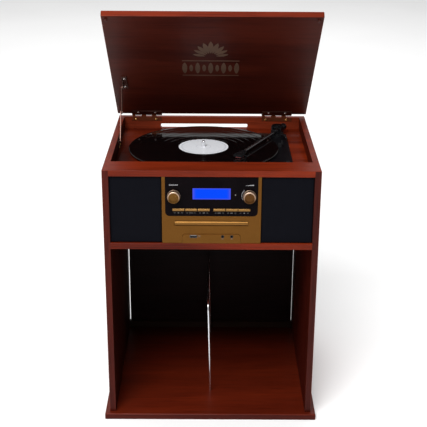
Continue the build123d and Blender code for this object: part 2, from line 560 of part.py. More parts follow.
def belt_outline(grow):
    """Open belt round the drive rim and the pulley, as one closed outline."""
    r1, r2 = DRIVE_R + grow, PULLEY_R + grow
    a = math.acos((r1 - r2) / PULLEY_DX)          # from the line of centres
    up1 = (SPX - r1 * math.cos(a), SPY + r1 * math.sin(a))
    dn1 = (SPX - r1 * math.cos(a), SPY - r1 * math.sin(a))
    up2 = (MX - r2 * math.cos(a), SPY + r2 * math.sin(a))
    dn2 = (MX - r2 * math.cos(a), SPY - r2 * math.sin(a))
    with BuildLine() as ln:
        Line(up1, up2)
        ThreePointArc(up2, (MX - r2, SPY), dn2)
        Line(dn2, dn1)
        ThreePointArc(dn1, (SPX + r1, SPY), up1)
    make_face(ln.line.edges())


with BuildPart() as drive_belt:
    with BuildSketch(Plane.XY.offset(488.3)):
        belt_outline(RUN + BELT_T)
    extrude(amount=BELT_H)
    with BuildSketch(Plane.XY.offset(488.3)):
        belt_outline(RUN)
    extrude(amount=BELT_H, mode=Mode.SUBTRACT)
save(drive_belt, "drive_belt")

with BuildPart() as speed_selector:
    block(146.9, 149.1, -66.0, -60.0, 490.0, DECK_TOP + PLATE_T + 1.0)
    block(145.0, 151.0, -67.5, -58.5, DECK_TOP + PLATE_T + 0.1, DECK_TOP + PLATE_T + 3.4)
    fillet(speed_selector.edges().filter_by(Axis.X).group_by(Axis.Z)[-1], 1.0)
save(speed_selector, "speed_selector")

with BuildPart() as cue_lever:
    rod_x(CUE_Y, 502.0, 150.9, 155.3, 3.3)
    rod_x(CUE_Y, 502.0, 150.9, 155.3, 1.5 + RUN, mode=Mode.SUBTRACT)
    with BuildSketch(Plane(origin=(151.6, 0, 0), x_dir=(0, 1, 0), z_dir=(1, 0, 0))):
        with BuildLine():
            Polyline((CUE_Y - 2.4, 504.2), (CUE_Y - 2.9, 501.0), (CUE_Y - 29, 503.6),
                     (CUE_Y - 33, 505.8), (CUE_Y - 32.4, 508.0), (CUE_Y - 28, 506.0),
                     (CUE_Y - 2.4, 504.2))
        make_face()
    extrude(amount=3.0)
save(cue_lever, "cue_lever")

# ------------------------------------------------------------------ tone arm
a_dir = Vector(math.cos(math.radians(ARM_DEG)), math.sin(math.radians(ARM_DEG)), 0)
a_side = Vector(-a_dir.Y, a_dir.X, 0)
pivot = Vector(ARM_X, ARM_Y, ARM_Z)
PLATE_Z = DECK_TOP + PLATE_T         # 496.5

with BuildPart() as arm_turret:
    disc(ARM_X, ARM_Y, PLATE_Z, PLATE_Z + 2.0, 16.0)
    disc(ARM_X, ARM_Y, PLATE_Z + 2.0, 502.4, 14.0)
    chamfer(arm_turret.edges().group_by(Axis.Z)[-1], 1.0)
    disc(ARM_X, ARM_Y, PLATE_Z - 1.0, 503.0, 3.0 + RUN, mode=Mode.SUBTRACT)
save(arm_turret, "arm_turret")

arm_frame = Plane(origin=pivot, x_dir=a_dir, z_dir=(0, 0, 1))   # local x along the arm
side_frame = Plane(origin=pivot, x_dir=a_dir, z_dir=a_side)     # local z across the arm
# local y of side_frame points down; helper flips it
SGN = 1 if side_frame.y_dir.Z > 0 else -1

with BuildPart() as arm_yoke:
    disc(ARM_X, ARM_Y, 490.0, 503.2, 3.0)
    disc(ARM_X, ARM_Y, 502.6, 504.6, 13.6)
    # two ears across the arm, under a round cap
    for s in (-1, 1):
        with BuildSketch(arm_frame.offset(504.5 - ARM_Z)):
            with Locations((0, s * 9.6)):
                Rectangle(13.0, 3.0)
        extrude(amount=12.2)
    disc(ARM_X, ARM_Y, 516.4, 519.4, 12.4)
    chamfer(arm_yoke.edges().group_by(Axis.Z)[-1], 1.2)
    disc(ARM_X, ARM_Y, 519.2, 520.4, 3.2)
    with BuildSketch(Plane(origin=pivot - a_side * 11.6, x_dir=a_dir, z_dir=a_side)):
        Circle(1.2)
    extrude(amount=23.2)
save(arm_yoke, "arm_yoke")

with BuildPart() as tonearm:
    # bearing block between the ears
    with BuildSketch(arm_frame.offset(-2.6)):
        RectangleRounded(22.0, 15.6, 1.5)
    extrude(amount=6.4)
    # arm tube and rear stub
    with BuildSketch(Plane(origin=pivot + a_dir * (-32.0), x_dir=a_side, z_dir=a_dir)):
        Circle(2.5)
    extrude(amount=32.0 + ARM_LEN - 26.0)
    # counterweight
    with BuildSketch(Plane(origin=pivot + a_dir * (-33.0), x_dir=a_side, z_dir=a_dir)):
        Circle(7.5)
    extrude(amount=16.0)
    # head shell
    with BuildSketch(arm_frame.offset(-3.0)):
        with BuildLine():
            Polyline((ARM_LEN - 28, -4.0), (ARM_LEN + 6, -8.5), (ARM_LEN + 6, 8.5),
                     (ARM_LEN - 28, 4.0), (ARM_LEN - 28, -4.0))
        make_face()
    extrude(amount=4.6)
    # finger lift
    with BuildSketch(arm_frame.offset(-1.5)):
        with Locations((ARM_LEN - 4, 11.0)):
            Rectangle(4.0, 10.0)
    extrude(amount=1.2)
    # clearance bore for the lift pins
    with BuildSketch(Plane(origin=pivot - a_side * 12.0, x_dir=a_dir, z_dir=a_side)):
        Circle(1.2 + RUN)
    extrude(amount=24.0, mode=Mode.SUBTRACT)
save(tonearm, "tonearm")

with BuildPart() as stylus_cartridge:
    with BuildSketch(arm_frame.offset(-3.0)):
        with Locations((ARM_LEN - 4.0, 0)):
            Rectangle(16.0, 11.0)
    extrude(amount=-2.0)
    with BuildSketch(arm_frame.offset(-5.0)):
        with Locations((ARM_LEN - 1.0, 0)):
            Rectangle(6.0, 2.0)
    extrude(amount=-0.9)
save(stylus_cartridge, "stylus_cartridge")

with BuildPart() as arm_rest:
    disc(ARM_X, REST_Y, PLATE_Z, PLATE_Z + 1.5, 6.0)
    block(ARM_X - 3.0, ARM_X + 3.0, REST_Y - 2, REST_Y + 2, PLATE_Z + 1.0, 504.6)
    block(ARM_X - 3.0, ARM_X + 6.0, REST_Y - 2, REST_Y + 2, 502.6, 504.9)
    block(ARM_X + 3.6, ARM_X + 6.0, REST_Y - 2, REST_Y + 2, 502.6, 510.5)
save(arm_rest, "arm_rest")

# ----------------------------------------------------------------------- lid
th = math.radians(LID_OPEN)
# lid frame: origin on the hinge axis, local y towards the back, local z
# out of the lid's top face
lid_plane = Plane(origin=(0, HINGE_Y, HINGE_Z), x_dir=(1, 0, 0),
                  z_dir=(0, math.sin(th), math.cos(th)))


def lid_block(x0, x1, s0, s1, n0, n1, mode=Mode.ADD):
    """Block in the lid frame; s runs forward from the hinge axis."""
    with BuildSketch(lid_plane.offset(n0)) as sk:
        with Locations(((x0 + x1) / 2, -(s0 + s1) / 2)):
            Rectangle(x1 - x0, s1 - s0)
    extrude(sk.sketch, amount=n1 - n0, mode=mode)


def lid_disc(x, s, n0, n1, r, mode=Mode.ADD):
    with BuildSketch(lid_plane.offset(n0)) as sk:
        with Locations((x, -s)):
            Circle(r)
    extrude(sk.sketch, amount=n1 - n0, mode=mode)


LEG_X = [(0.0, 7.0), (20.0, 30.0), (42.0, 52.0)]         # cabinet knuckles
LID_KN_X = [(7.4, 19.6), (30.4, 41.6), (52.4, 64.0)]     # lid knuckles
LID_SCREW_DX = (-18.0, 18.0)
LEAF_S1, LID_SCREW_S = 16.6, 11.0    # front edge and screw line of the lid leaf
STAY_S = (122.0, 153.0)
STAY_SCREW_X = -177.1

with BuildPart() as lid:
    lid_block(-LID_W / 2, LID_W / 2, LID_S0, LID_S0 + LID_D, LID_N0, LID_N0 + BOARD)
    fillet(lid.edges(), 1.5)
    for hx in (-HINGE_X, HINGE_X):
        for dx in LID_SCREW_DX:
            lid_disc(hx + dx, LID_SCREW_S, LID_N0 - 1, LID_N0 + 8.0, 1.25, mode=Mode.SUBTRACT)
    for s in STAY_S:
        lid_disc(STAY_SCREW_X, s, LID_N0 - 1, LID_N0 + 8.0, 1.25, mode=Mode.SUBTRACT)
save(lid, "lid")

with BuildPart() as hinge_cabinet_leaves:
    for hx in (-HINGE_X, HINGE_X):
        x0 = hx - HINGE_L / 2
        block(x0, x0 + HINGE_L, PANEL_IN - LEAF_T, PANEL_IN, 511.6, 519.0)
        for k0, k1 in LEG_X:
            block(x0 + k0, x0 + k1, PANEL_IN - LEAF_T, PANEL_IN, 518.5, 521.4)
            block(x0 + k0, x0 + k1, PANEL_IN - LEAF_T, HINGE_Y + 0.6, RIM_Z + 0.2, 521.4)
            block(x0 + k0, x0 + k1, HINGE_Y - 0.6, HINGE_Y + 0.6, RIM_Z + 0.2, HINGE_Z)
            rod_x(HINGE_Y, HINGE_Z, x0 + k0, x0 + k1, BARREL_R)
        rod_x(HINGE_Y, HINGE_Z, x0 - 1, x0 + HINGE_L + 1, PIN_R + RUN, mode=Mode.SUBTRACT)
        for dx in CAB_SCREW_DX:
            rod_y(hx + dx, CAB_SCREW_Z, PANEL_IN - LEAF_T - 1, PANEL_IN, 1.5, mode=Mode.SUBTRACT)
save(hinge_cabinet_leaves, "hinge_cabinet_leaves")

with BuildPart() as hinge_pins:
    for hx in (-HINGE_X, HINGE_X):
        rod_x(HINGE_Y, HINGE_Z, hx - HINGE_L / 2 - 0.6, hx + HINGE_L / 2 + 0.6, PIN_R)
save(hinge_pins, "hinge_pins")

with BuildPart() as hinge_lid_leaves:
    for hx in (-HINGE_X, HINGE_X):
        x0 = hx - HINGE_L / 2
        lid_block(x0, x0 + HINGE_L, 4.4, LEAF_S1, LID_N0 - LEAF_T, LID_N0)
        for k0, k1 in LID_KN_X:
            lid_block(x0 + k0, x0 + k1, 0.0, 4.5, LID_N0 - LEAF_T, LID_N0)
            rod_x(HINGE_Y, HINGE_Z, x0 + k0, x0 + k1, BARREL_R)
        rod_x(HINGE_Y, HINGE_Z, x0 - 1, x0 + HINGE_L + 1, PIN_R + RUN, mode=Mode.SUBTRACT)
        for dx in LID_SCREW_DX:
            lid_disc(hx + dx, LID_SCREW_S, LID_N0 - LEAF_T - 1, LID_N0, 1.5, mode=Mode.SUBTRACT)
save(hinge_lid_leaves, "hinge_lid_leaves")

with BuildPart() as lid_screws:
    for hx in (-HINGE_X, HINGE_X):
        for dx in LID_SCREW_DX:
            lid_disc(hx + dx, LID_SCREW_S, LID_N0 - LEAF_T, LID_N0 + 7.0, 1.2)
            lid_disc(hx + dx, LID_SCREW_S, LID_N0 - LEAF_T - 1.3, LID_N0 - LEAF_T, 2.5)
    for s in STAY_S:
        lid_disc(STAY_SCREW_X, s, LID_N0 - 1.5, LID_N0 + 7.0, 1.2)
        lid_disc(STAY_SCREW_X, s, LID_N0 - 2.8, LID_N0 - 1.5, 2.5)
save(lid_screws, "lid_screws")

with BuildPart() as lid_bumpers:
    for bx in (-194.6, 194.6):
        lid_disc(bx, 364.0, LID_N0 - 3.9, LID_N0, 3.0)
save(lid_bumpers, "lid_bumpers")

# ------------------------------------------------------------------ lid stay
# pivots in world (y, z)
pw = (HINGE_Y - PW_F, HINGE_Z + PW_U)
pl_f = PL_S * math.cos(th) - PL_N * math.sin(th)
pl_u = PL_S * math.sin(th) + PL_N * math.cos(th)
pl = (HINGE_Y - pl_f, HINGE_Z + pl_u)


def elbow(pf, pu):
    """Elbow of the two arms, on the hinge side, in (forward, up)."""
    dx, dy = pf - PW_F, pu - PW_U
    d = math.hypot(dx, dy)
    a = (LOWER_L ** 2 - UPPER_L ** 2 + d * d) / (2 * d)
    h = math.sqrt(max(LOWER_L ** 2 - a * a, 0.0))
    mx, my = PW_F + a * dx / d, PW_U + a * dy / d
    c1 = (mx - h * dy / d, my + h * dx / d)
    c2 = (mx + h * dy / d, my - h * dx / d)
    return c1 if c1[0] < c2[0] else c2


ef, eu = elbow(pl_f, pl_u)
el = (HINGE_Y - ef, HINGE_Z + eu)
cf, cu = elbow(PL_S, PL_N)
low_rest = math.degrees(math.atan2(eu - PW_U, ef - PW_F))
low_shut = math.degrees(math.atan2(cu - PW_U, cf - PW_F))
up_rest = math.degrees(math.atan2(eu - pl_u, ef - pl_f)) - LID_OPEN
up_shut = math.degrees(math.atan2(cu - PL_N, cf - PL_S))
while up_shut > up_rest + 180:
    up_shut -= 360
while up_shut < up_rest - 180:
    up_shut += 360
print("stay: wall pivot", pw, "lid pivot", pl, "elbow", el)
print("stay lower arm turns", low_shut - low_rest, "upper arm turns", up_shut - up_rest,
      "ratios", (low_shut - low_rest) / -LID_OPEN, (up_shut - up_rest) / -LID_OPEN)

with BuildPart() as stay_wall_bracket:
    block(-HALF_IN, -HALF_IN + 1.5, pw[0] - 14.0, pw[0] + 14.0, pw[1] - 11.8, pw[1] + 5.0)
    fillet(stay_wall_bracket.edges().filter_by(Axis.X), 3.0)
    rod_x(pw[0], pw[1], -HALF_IN + 1.4, -HALF_IN + 4.2, 1.9)
    for sy in (pw[0] - 9, pw[0] + 9):
        rod_x(sy, pw[1] - 9, -HALF_IN, -HALF_IN + 1.5, 1.5, mode=Mode.SUBTRACT)
save(stay_wall_bracket, "stay_wall_bracket")


def link(x0, x1, a, b, hole_a, hole_b):
    """Flat link between two points (y, z), with round ends."""
    dy, dz = b[0] - a[0], b[1] - a[1]
    length = math.hypot(dy, dz)
    pln = Plane(origin=(x0, (a[0] + b[0]) / 2, (a[1] + b[1]) / 2),
                x_dir=(0, dy / length, dz / length), z_dir=(1, 0, 0))
    with BuildSketch(pln) as sk:
        SlotCenterToCenter(length, 8.0)
        if hole_a:
            with Locations((-length / 2, 0)):
                Circle(hole_a, mode=Mode.SUBTRACT)
        if hole_b:
            with Locations((length / 2, 0)):
                Circle(hole_b, mode=Mode.SUBTRACT)
    extrude(sk.sketch, amount=x1 - x0)


with BuildPart() as stay_lower_arm:
    link(LINK_X, LINK_X + 1.5, pw, el, 1.9 + RUN, 0)
save(stay_lower_arm, "stay_lower_arm")

with BuildPart() as stay_upper_arm:
    link(LINK_X + 1.9, LINK_X + 3.4, el, pl, 0, 1.9 + RUN)
    rod_x(el[0], el[1], LINK_X + 3.3, LINK_X + 4.6, 2.6)
save(stay_upper_arm, "stay_upper_arm")

with BuildPart() as stay_lid_bracket:
    # ear in the plane of the arms and a flange on the lid's underside
    ex = LINK_X + 4.4
    lid_block(ex, ex + 1.5, 116.0, 160.0, LID_N0 - 3.0, LID_N0)
    with BuildSketch(Plane(origin=(ex, pl[0], pl[1]), x_dir=(0, -math.cos(th), math.sin(th)),
                           z_dir=(1, 0, 0))):
        Circle(5.0)
    extrude(amount=1.5)
    lid_block(ex, ex + 1.5, PL_S - 5.0, PL_S + 5.0, PL_N, LID_N0)
    lid_block(ex, ex + 10.2, 116.0, 160.0, LID_N0 - 1.5, LID_N0)
    rod_x(pl[0], pl[1], LINK_X + 1.7, LINK_X + 5.4, 1.9)
    for s in STAY_S:
        lid_disc(STAY_SCREW_X, s, LID_N0 - 3, LID_N0, 1.5, mode=Mode.SUBTRACT)
save(stay_lid_bracket, "stay_lid_bracket")
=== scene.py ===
import math
import random

import bmesh
import bpy
from mathutils import Matrix, Vector


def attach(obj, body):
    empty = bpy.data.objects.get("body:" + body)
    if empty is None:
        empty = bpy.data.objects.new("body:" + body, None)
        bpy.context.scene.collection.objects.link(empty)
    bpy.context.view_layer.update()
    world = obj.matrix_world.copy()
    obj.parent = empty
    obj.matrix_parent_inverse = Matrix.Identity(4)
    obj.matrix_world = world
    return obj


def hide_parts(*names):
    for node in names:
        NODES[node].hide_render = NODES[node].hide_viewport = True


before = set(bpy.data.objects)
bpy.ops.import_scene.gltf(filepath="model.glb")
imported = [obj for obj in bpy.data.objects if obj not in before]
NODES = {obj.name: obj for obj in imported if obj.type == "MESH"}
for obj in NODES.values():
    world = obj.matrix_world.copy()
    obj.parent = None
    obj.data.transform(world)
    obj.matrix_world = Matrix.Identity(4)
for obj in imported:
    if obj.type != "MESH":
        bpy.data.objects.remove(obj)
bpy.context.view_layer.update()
rng = random.Random(7)
MM = 0.001

# ------------------------------------------------------------------ numbers
SPIN = Vector((-0.0165, 0.024, 0.0))
FACE = -0.181
WINDOW_FACE = -0.1813
TH = math.radians(43.5)
HINGE = Vector((0.0, 0.1835, 0.5253))
LID_S = Vector((0.0, -math.cos(TH), math.sin(TH)))      # forward along the lid
LID_N = Vector((0.0, math.sin(TH), math.cos(TH)))       # out of the lid's top


# ---------------------------------------------------------------- materials
class Mat:
    """Small helper round a node tree."""

    def __init__(self, name):
        self.m = bpy.data.materials.new(name)
        self.m.use_nodes = True
        self.t = self.m.node_tree
        self.t.nodes.clear()
        self.out = self.n("ShaderNodeOutputMaterial")
        self.p = self.n("ShaderNodeBsdfPrincipled")
        self.l(self.p.outputs[0], self.out.inputs[0])
        self.co = None

    def n(self, kind, **kw):
        x = self.t.nodes.new(kind)
        for k, v in kw.items():
            setattr(x, k, v)
        return x

    def l(self, a, b):
        self.t.links.new(a, b)

    def coords(self, scale=(1, 1, 1), rot=(0, 0, 0), loc=(0, 0, 0)):
        tc = self.n("ShaderNodeTexCoord")
        mp = self.n("ShaderNodeMapping")
        mp.inputs["Scale"].default_value = scale
        mp.inputs["Rotation"].default_value = rot
        mp.inputs["Location"].default_value = loc
        self.l(tc.outputs["Object"], mp.inputs["Vector"])
        return mp.outputs[0]

    def noise(self, vec, scale, detail=3.0, rough=0.5, distort=0.0):
        x = self.n("ShaderNodeTexNoise")
        x.inputs["Scale"].default_value = scale
        x.inputs["Detail"].default_value = detail
        x.inputs["Roughness"].default_value = rough
        x.inputs["Distortion"].default_value = distort
        self.l(vec, x.inputs["Vector"])
        return x.outputs["Fac"]

    def ramp(self, fac, stops):
        r = self.n("ShaderNodeValToRGB")
        e = r.color_ramp.elements
        while len(e) < len(stops):
            e.new(0.5)
        for i, (p, c) in enumerate(stops):
            e[i].position = p
            e[i].color = (c[0], c[1], c[2], 1) if len(c) >= 3 else (c[0], c[0], c[0], 1)
        self.l(fac, r.inputs[0])
        return r.outputs[0]

    def math(self, op, a, b=None, clamp=False):
        x = self.n("ShaderNodeMath", operation=op, use_clamp=clamp)
        for i, v in enumerate((a, b)):
            if v is None:
                continue
            if isinstance(v, (int, float)):
                x.inputs[i].default_value = v
            else:
                self.l(v, x.inputs[i])
        return x.outputs[0]

    def mix(self, fac, a, b, blend="MIX"):
        x = self.n("ShaderNodeMix", data_type="RGBA", blend_type=blend)
        for sock, v in ((x.inputs[0], fac), (x.inputs[6], a), (x.inputs[7], b)):
            if isinstance(v, (int, float)):
                sock.default_value = v
            elif isinstance(v, (tuple, list)):
                sock.default_value = (v[0], v[1], v[2], 1)
            else:
                self.l(v, sock)
        return x.outputs[2]

    def bump(self, height, strength, dist, normal=None):
        b = self.n("ShaderNodeBump")
        b.inputs["Strength"].default_value = strength
        b.inputs["Distance"].default_value = dist
        self.l(height, b.inputs["Height"])
        if normal is not None:
            self.l(normal, b.inputs["Normal"])
        return b.outputs[0]

    def set(self, **kw):
        names = {"base": "Base Color", "rough": "Roughness", "metal": "Metallic",
                 "coat": "Coat Weight", "coat_rough": "Coat Roughness", "ior": "IOR",
                 "normal": "Normal", "coat_normal": "Coat Normal", "aniso": "Anisotropic",
                 "sheen": "Sheen Weight", "sheen_rough": "Sheen Roughness",
                 "sheen_tint": "Sheen Tint",
                 "emit": "Emission Color", "emit_s": "Emission Strength",
                 "spec": "Specular IOR Level", "trans": "Transmission Weight",
                 "tangent": "Tangent", "alpha": "Alpha", "coat_ior": "Coat IOR"}
        for k, v in kw.items():
            s = self.p.inputs[names[k]]
            if isinstance(v, (int, float)):
                s.default_value = v
            elif isinstance(v, (tuple, list)):
                s.default_value = (v[0], v[1], v[2], 1) if len(s.default_value) == 4 else v
            else:
                self.l(v, s)
        return self


def wood(name, grain="x", dark=(0.078, 0.0070, 0.0020), light=(0.235, 0.0250, 0.0052),
         coat=0.10, seed=0.0, contrast=1.0, coat_r=0.22, faces=(), depth=None, corner_shadow=None):
    """Satin-lacquered mahogany: long soft figure, faint ribbons and short pores."""
    m = Mat(name)
    along, across = 1.6, 11.0
    sc = {"x": (along, across, across), "y": (across, along, across),
          "z": (across, across, along)}[grain]
    fine = {"x": (12, 420, 420), "y": (420, 12, 420), "z": (420, 420, 12)}[grain]
    v = m.coords(scale=sc, loc=(seed, seed * 1.7, seed * 0.6))
    figure = m.noise(v, 1.0, 4.0, 0.52, 1.3)
    sc2 = {"x": (5, 70, 70), "y": (70, 5, 70), "z": (70, 70, 5)}[grain]
    ribbon = m.noise(m.coords(scale=sc2, loc=(seed * 3, 0, seed)), 1.0, 3.0, 0.6, 0.6)
    tone = m.math("ADD", m.math("MULTIPLY", figure, 0.72), m.math("MULTIPLY", ribbon, 0.28))
    mid = tuple(0.5 * (a + b) for a, b in zip(dark, light))
    lo = tuple(b + (a - b) * contrast for a, b in zip(dark, mid))
    hi = tuple(b + (a - b) * contrast for a, b in zip(light, mid))
    col = m.ramp(tone, [(0.34, lo), (0.50, mid), (0.66, hi)])
    vf = m.coords(scale=fine, loc=(seed, 0, 0))
    pores = m.noise(vf, 1.0, 2.0, 0.6)
    pore_mask = m.ramp(pores, [(0.34, (0,)), (0.46, (1,))])
    col = m.mix(pore_mask, m.mix(0.35, col, tuple(0.12 * c for c in dark)), col)
    for way, mul in faces:
        # painted shade: faces turned this way are darkened, standing in for the shade they sit in
        tc = m.n("ShaderNodeTexCoord")
        dot = m.n("ShaderNodeVectorMath", operation="DOT_PRODUCT")
        dot.inputs[1].default_value = tuple(way)
        m.l(tc.outputs["Normal"], dot.inputs[0])
        mask = m.ramp(dot.outputs["Value"], [(0.80, (0,)), (0.97, (1,))])
        col = m.mix(mask, col, m.mix(1.0, col, mul, "MULTIPLY"))
    if depth:
        # darker toward the back, standing in for the light's falloff; depth lists (y, factor)
        sep = m.n("ShaderNodeSeparateXYZ")
        m.l(m.coords(scale=(1, 1, 1)), sep.inputs[0])
        f = m.math("ADD", m.math("MULTIPLY", sep.outputs[1], 2.0), 0.5)
        col = m.mix(1.0, col, m.ramp(f, [(2 * y + 0.5, (k, k, k)) for y, k in depth]), "MULTIPLY")
    if corner_shadow:
        # painted shadow: the front corner of the well is darkened where the side wall's shadow falls; factors along x
        # and along y, the larger counts
        sep = m.n("ShaderNodeSeparateXYZ")
        m.l(m.coords(scale=(1, 1, 1)), sep.inputs[0])
        fs = [m.ramp(m.math("ADD", m.math("MULTIPLY", sep.outputs[k], 2.0), 0.5),
                     [(2 * q + 0.5, (w,)) for q, w in corner_shadow[k]]) for k in (0, 1)]
        lum = m.math("MAXIMUM", fs[0], fs[1])
        col = m.mix(lum, m.mix(1.0, col, (0.10, 0.10, 0.16), "MULTIPLY"), col)
    smudge = m.noise(m.coords(scale=(7, 7, 7)), 1.0, 4.0, 0.6, 0.4)
    rough = m.ramp(smudge, [(0.3, (0.40,)), (0.75, (0.52,))])
    peel = m.noise(m.coords(scale=(160, 160, 160)), 1.0, 1.0, 0.4)
    m.set(base=col, rough=rough, coat=coat,
          coat_rough=m.ramp(smudge, [(0.35, (coat_r - 0.03,)), (0.8, (coat_r + 0.05,))]), ior=1.4,
          normal=m.bump(pores, 0.2, 0.0002), coat_normal=m.bump(peel, 0.06, 0.0002), spec=0.10)
    return m.m


def plastic(name, base, rough=0.42, grain=900.0, strength=0.18, coat=0.0, var=0.25, spec=0.25):
    m = Mat(name)
    g = m.noise(m.coords(scale=(grain,) * 3), 1.0, 2.0, 0.5)
    sm = m.noise(m.coords(scale=(30,) * 3), 1.0, 4.0, 0.6, 0.3)
    lo = tuple(c * (1 - var) for c in base)
    hi = tuple(c * (1 + var) + 0.0005 for c in base)
    m.set(base=m.ramp(sm, [(0.3, lo), (0.7, hi)]),
          rough=m.ramp(sm, [(0.3, (rough - 0.06,)), (0.75, (rough + 0.08,))]),
          normal=m.bump(g, strength, 0.00006), coat=coat, coat_rough=0.06, spec=spec)
    return m.m


def brushed(name, base, rough=0.32, axis="x", strength=0.25, line=900.0, coat=0.0, metal=1.0):
    """Metal with a straight brushed grain along one axis."""
    m = Mat(name)
    sc = {"x": (10, line, line), "y": (line, 10, line), "z": (line, line, 10)}[axis]
    g = m.noise(m.coords(scale=sc), 1.0, 3.0, 0.6)
    sm = m.noise(m.coords(scale=(14,) * 3), 1.0, 4.0, 0.6, 0.5)
    lo = tuple(c * 0.82 for c in base)
    hi = tuple(min(1.0, c * 1.14) for c in base)
    col = m.mix(0.5, m.ramp(g, [(0.3, lo), (0.7, hi)]), m.ramp(sm, [(0.3, lo), (0.7, hi)]))
    m.set(base=col, metal=metal,
          rough=m.math("ADD", m.ramp(g, [(0.3, (rough - 0.07,)), (0.7, (rough + 0.07,))]),
                       m.math("MULTIPLY", sm, 0.08)),
          normal=m.bump(g, strength, 0.00003), coat=coat, coat_rough=0.08)
    return m.m


def radial(m, centre, axis="z"):
    """Distance from an axis through centre, in metres."""
    tc = m.n("ShaderNodeTexCoord")
    sub = m.n("ShaderNodeVectorMath", operation="SUBTRACT")
    sub.inputs[1].default_value = tuple(centre)
    m.l(tc.outputs["Object"], sub.inputs[0])
    mul = m.n("ShaderNodeVectorMath", operation="MULTIPLY")
    mul.inputs[1].default_value = {"z": (1, 1, 0), "y": (1, 0, 1), "x": (0, 1, 1)}[axis]
    m.l(sub.outputs[0], mul.inputs[0])
    ln = m.n("ShaderNodeVectorMath", operation="LENGTH")
    m.l(mul.outputs[0], ln.inputs[0])
    return ln.outputs["Value"], sub.outputs[0]


def turned(name, base, centre, axis="y", rough=0.28, pitch=9000.0, crown=False):
    """Metal with the fine rings of a lathe."""
    m = Mat(name)
    r, away = radial(m, centre, axis)
    comb = m.n("ShaderNodeCombineXYZ")
    m.l(m.math("MULTIPLY", r, pitch), comb.inputs[0])
    rings = m.noise(comb.outputs[0], 1.0, 2.0, 0.6)
    sm = m.noise(m.coords(scale=(40,) * 3), 1.0, 3.0, 0.6)
    lo = tuple(c * 0.85 for c in base)
    hi = tuple(min(1.0, c * 1.12) for c in base)
    col = m.ramp(rings, [(0.3, lo), (0.7, hi)])
    if crown:
        # paler upper rim, standing in for the light caught along the top of the knob
        sep = m.n("ShaderNodeSeparateXYZ")
        m.l(away, sep.inputs[0])
        up = m.ramp(m.math("ADD", m.math("MULTIPLY", sep.outputs[2], 40.0), 0.5), [(0.25, (0,)), (0.85, (1,))])
        rim = m.ramp(m.math("MULTIPLY", r, 50.0), [(0.0, (0,)), (0.455, (0,)), (0.475, (1,)), (0.600, (1,)), (0.63, (0.3,))])
        col = m.mix(m.math("MULTIPLY", rim, up), col, (0.62, 0.44, 0.32))
    m.set(base=col, metal=1.0,
          rough=m.math("ADD", m.ramp(rings, [(0.3, (rough - 0.05,)), (0.7, (rough + 0.07,))]),
                       m.math("MULTIPLY", sm, 0.06)),
          normal=m.bump(rings, 0.25, 0.00003), aniso=0.5)
    return m.m


def vinyl(name):
    m = Mat(name)
    r, _ = radial(m, SPIN, "z")
    comb = m.n("ShaderNodeCombineXYZ")
    m.l(m.math("MULTIPLY", r, 5200.0), comb.inputs[0])
    groove = m.noise(comb.outputs[0], 1.0, 2.0, 0.7)
    comb2 = m.n("ShaderNodeCombineXYZ")
    m.l(m.math("MULTIPLY", r, 260.0), comb2.inputs[0])
    band = m.noise(comb2.outputs[0], 1.0, 3.0, 0.6)
    dust = m.noise(m.coords(scale=(90,) * 3), 1.0, 4.0, 0.7)
    m.set(base=m.ramp(band, [(0.3, (0.0012, 0.0010, 0.0012)), (0.7, (0.0030, 0.0022, 0.0026))]),
          rough=m.math("ADD", m.ramp(band, [(0.3, (0.035,)), (0.7, (0.06,))]),
                       m.math("MULTIPLY", dust, 0.02)),
          normal=m.bump(groove, 0.02, 0.00003), spec=0.40, aniso=0.25)
    # the highlight runs along the grooves
    tg = m.n("ShaderNodeTangent", direction_type="RADIAL", axis="Z")
    m.l(tg.outputs[0], m.p.inputs["Tangent"])
    return m.m


def label_mat(name):
    """Generic printed paper label: rings and a band, no words."""
    m = Mat(name)
    r, _ = radial(m, SPIN, "z")
    rr = m.math("MULTIPLY", r, 20.0)          # 1.0 at the 50 mm edge
    paper = m.noise(m.coords(scale=(700,) * 3), 1.0, 3.0, 0.6)
    white = m.ramp(paper, [(0.3, (0.76, 0.78, 0.82)), (0.7, (0.88, 0.90, 0.94))])
    rings = m.ramp(rr, [(0.0, (0,)), (0.28, (0,)), (0.285, (1,)), (0.30, (1,)), (0.305, (0,)),
                        (0.86, (0,)), (0.865, (1,)), (0.90, (1,)), (0.905, (0,)), (1.0, (0,))])
    col = m.mix(m.math("MULTIPLY", rings, 0.35), white, (0.30, 0.34, 0.44))
    m.set(base=col, rough=0.5, normal=m.bump(paper, 0.2, 0.00005), coat=0.25, coat_rough=0.2)
    return m.m


def cloth_mat(name):
    m = Mat(name)
    v = m.coords(scale=(1, 1, 1))
    sep = m.n("ShaderNodeSeparateXYZ")
    m.l(v, sep.inputs[0])
    k = 2 * math.pi / 0.0011
    sx = m.math("SINE", m.math("MULTIPLY", sep.outputs[0], k))
    sz = m.math("SINE", m.math("MULTIPLY", sep.outputs[2], k))
    weave = m.math("MULTIPLY", sx, sz)
    h = m.math("ADD", m.math("MULTIPLY", weave, 0.5), 0.5)
    slub = m.noise(m.coords(scale=(30, 30, 700)), 1.0, 3.0, 0.6)
    slub2 = m.noise(m.coords(scale=(700, 30, 30)), 1.0, 3.0, 0.6)
    tone = m.math("MULTIPLY", m.math("ADD", slub, slub2), 0.5)
    c = m.mix(h, (0.0008, 0.0008, 0.0016), m.ramp(tone, [(0.3, (0.0022, 0.0024, 0.0052)),
                                                       (0.7, (0.0046, 0.0049, 0.0092))]))
    m.set(base=c, rough=0.85, normal=m.bump(h, 0.6, 0.0002), sheen=0.008, sheen_rough=0.4,
          sheen_tint=(0.5, 0.55, 0.7), spec=0.08)
    return m.m


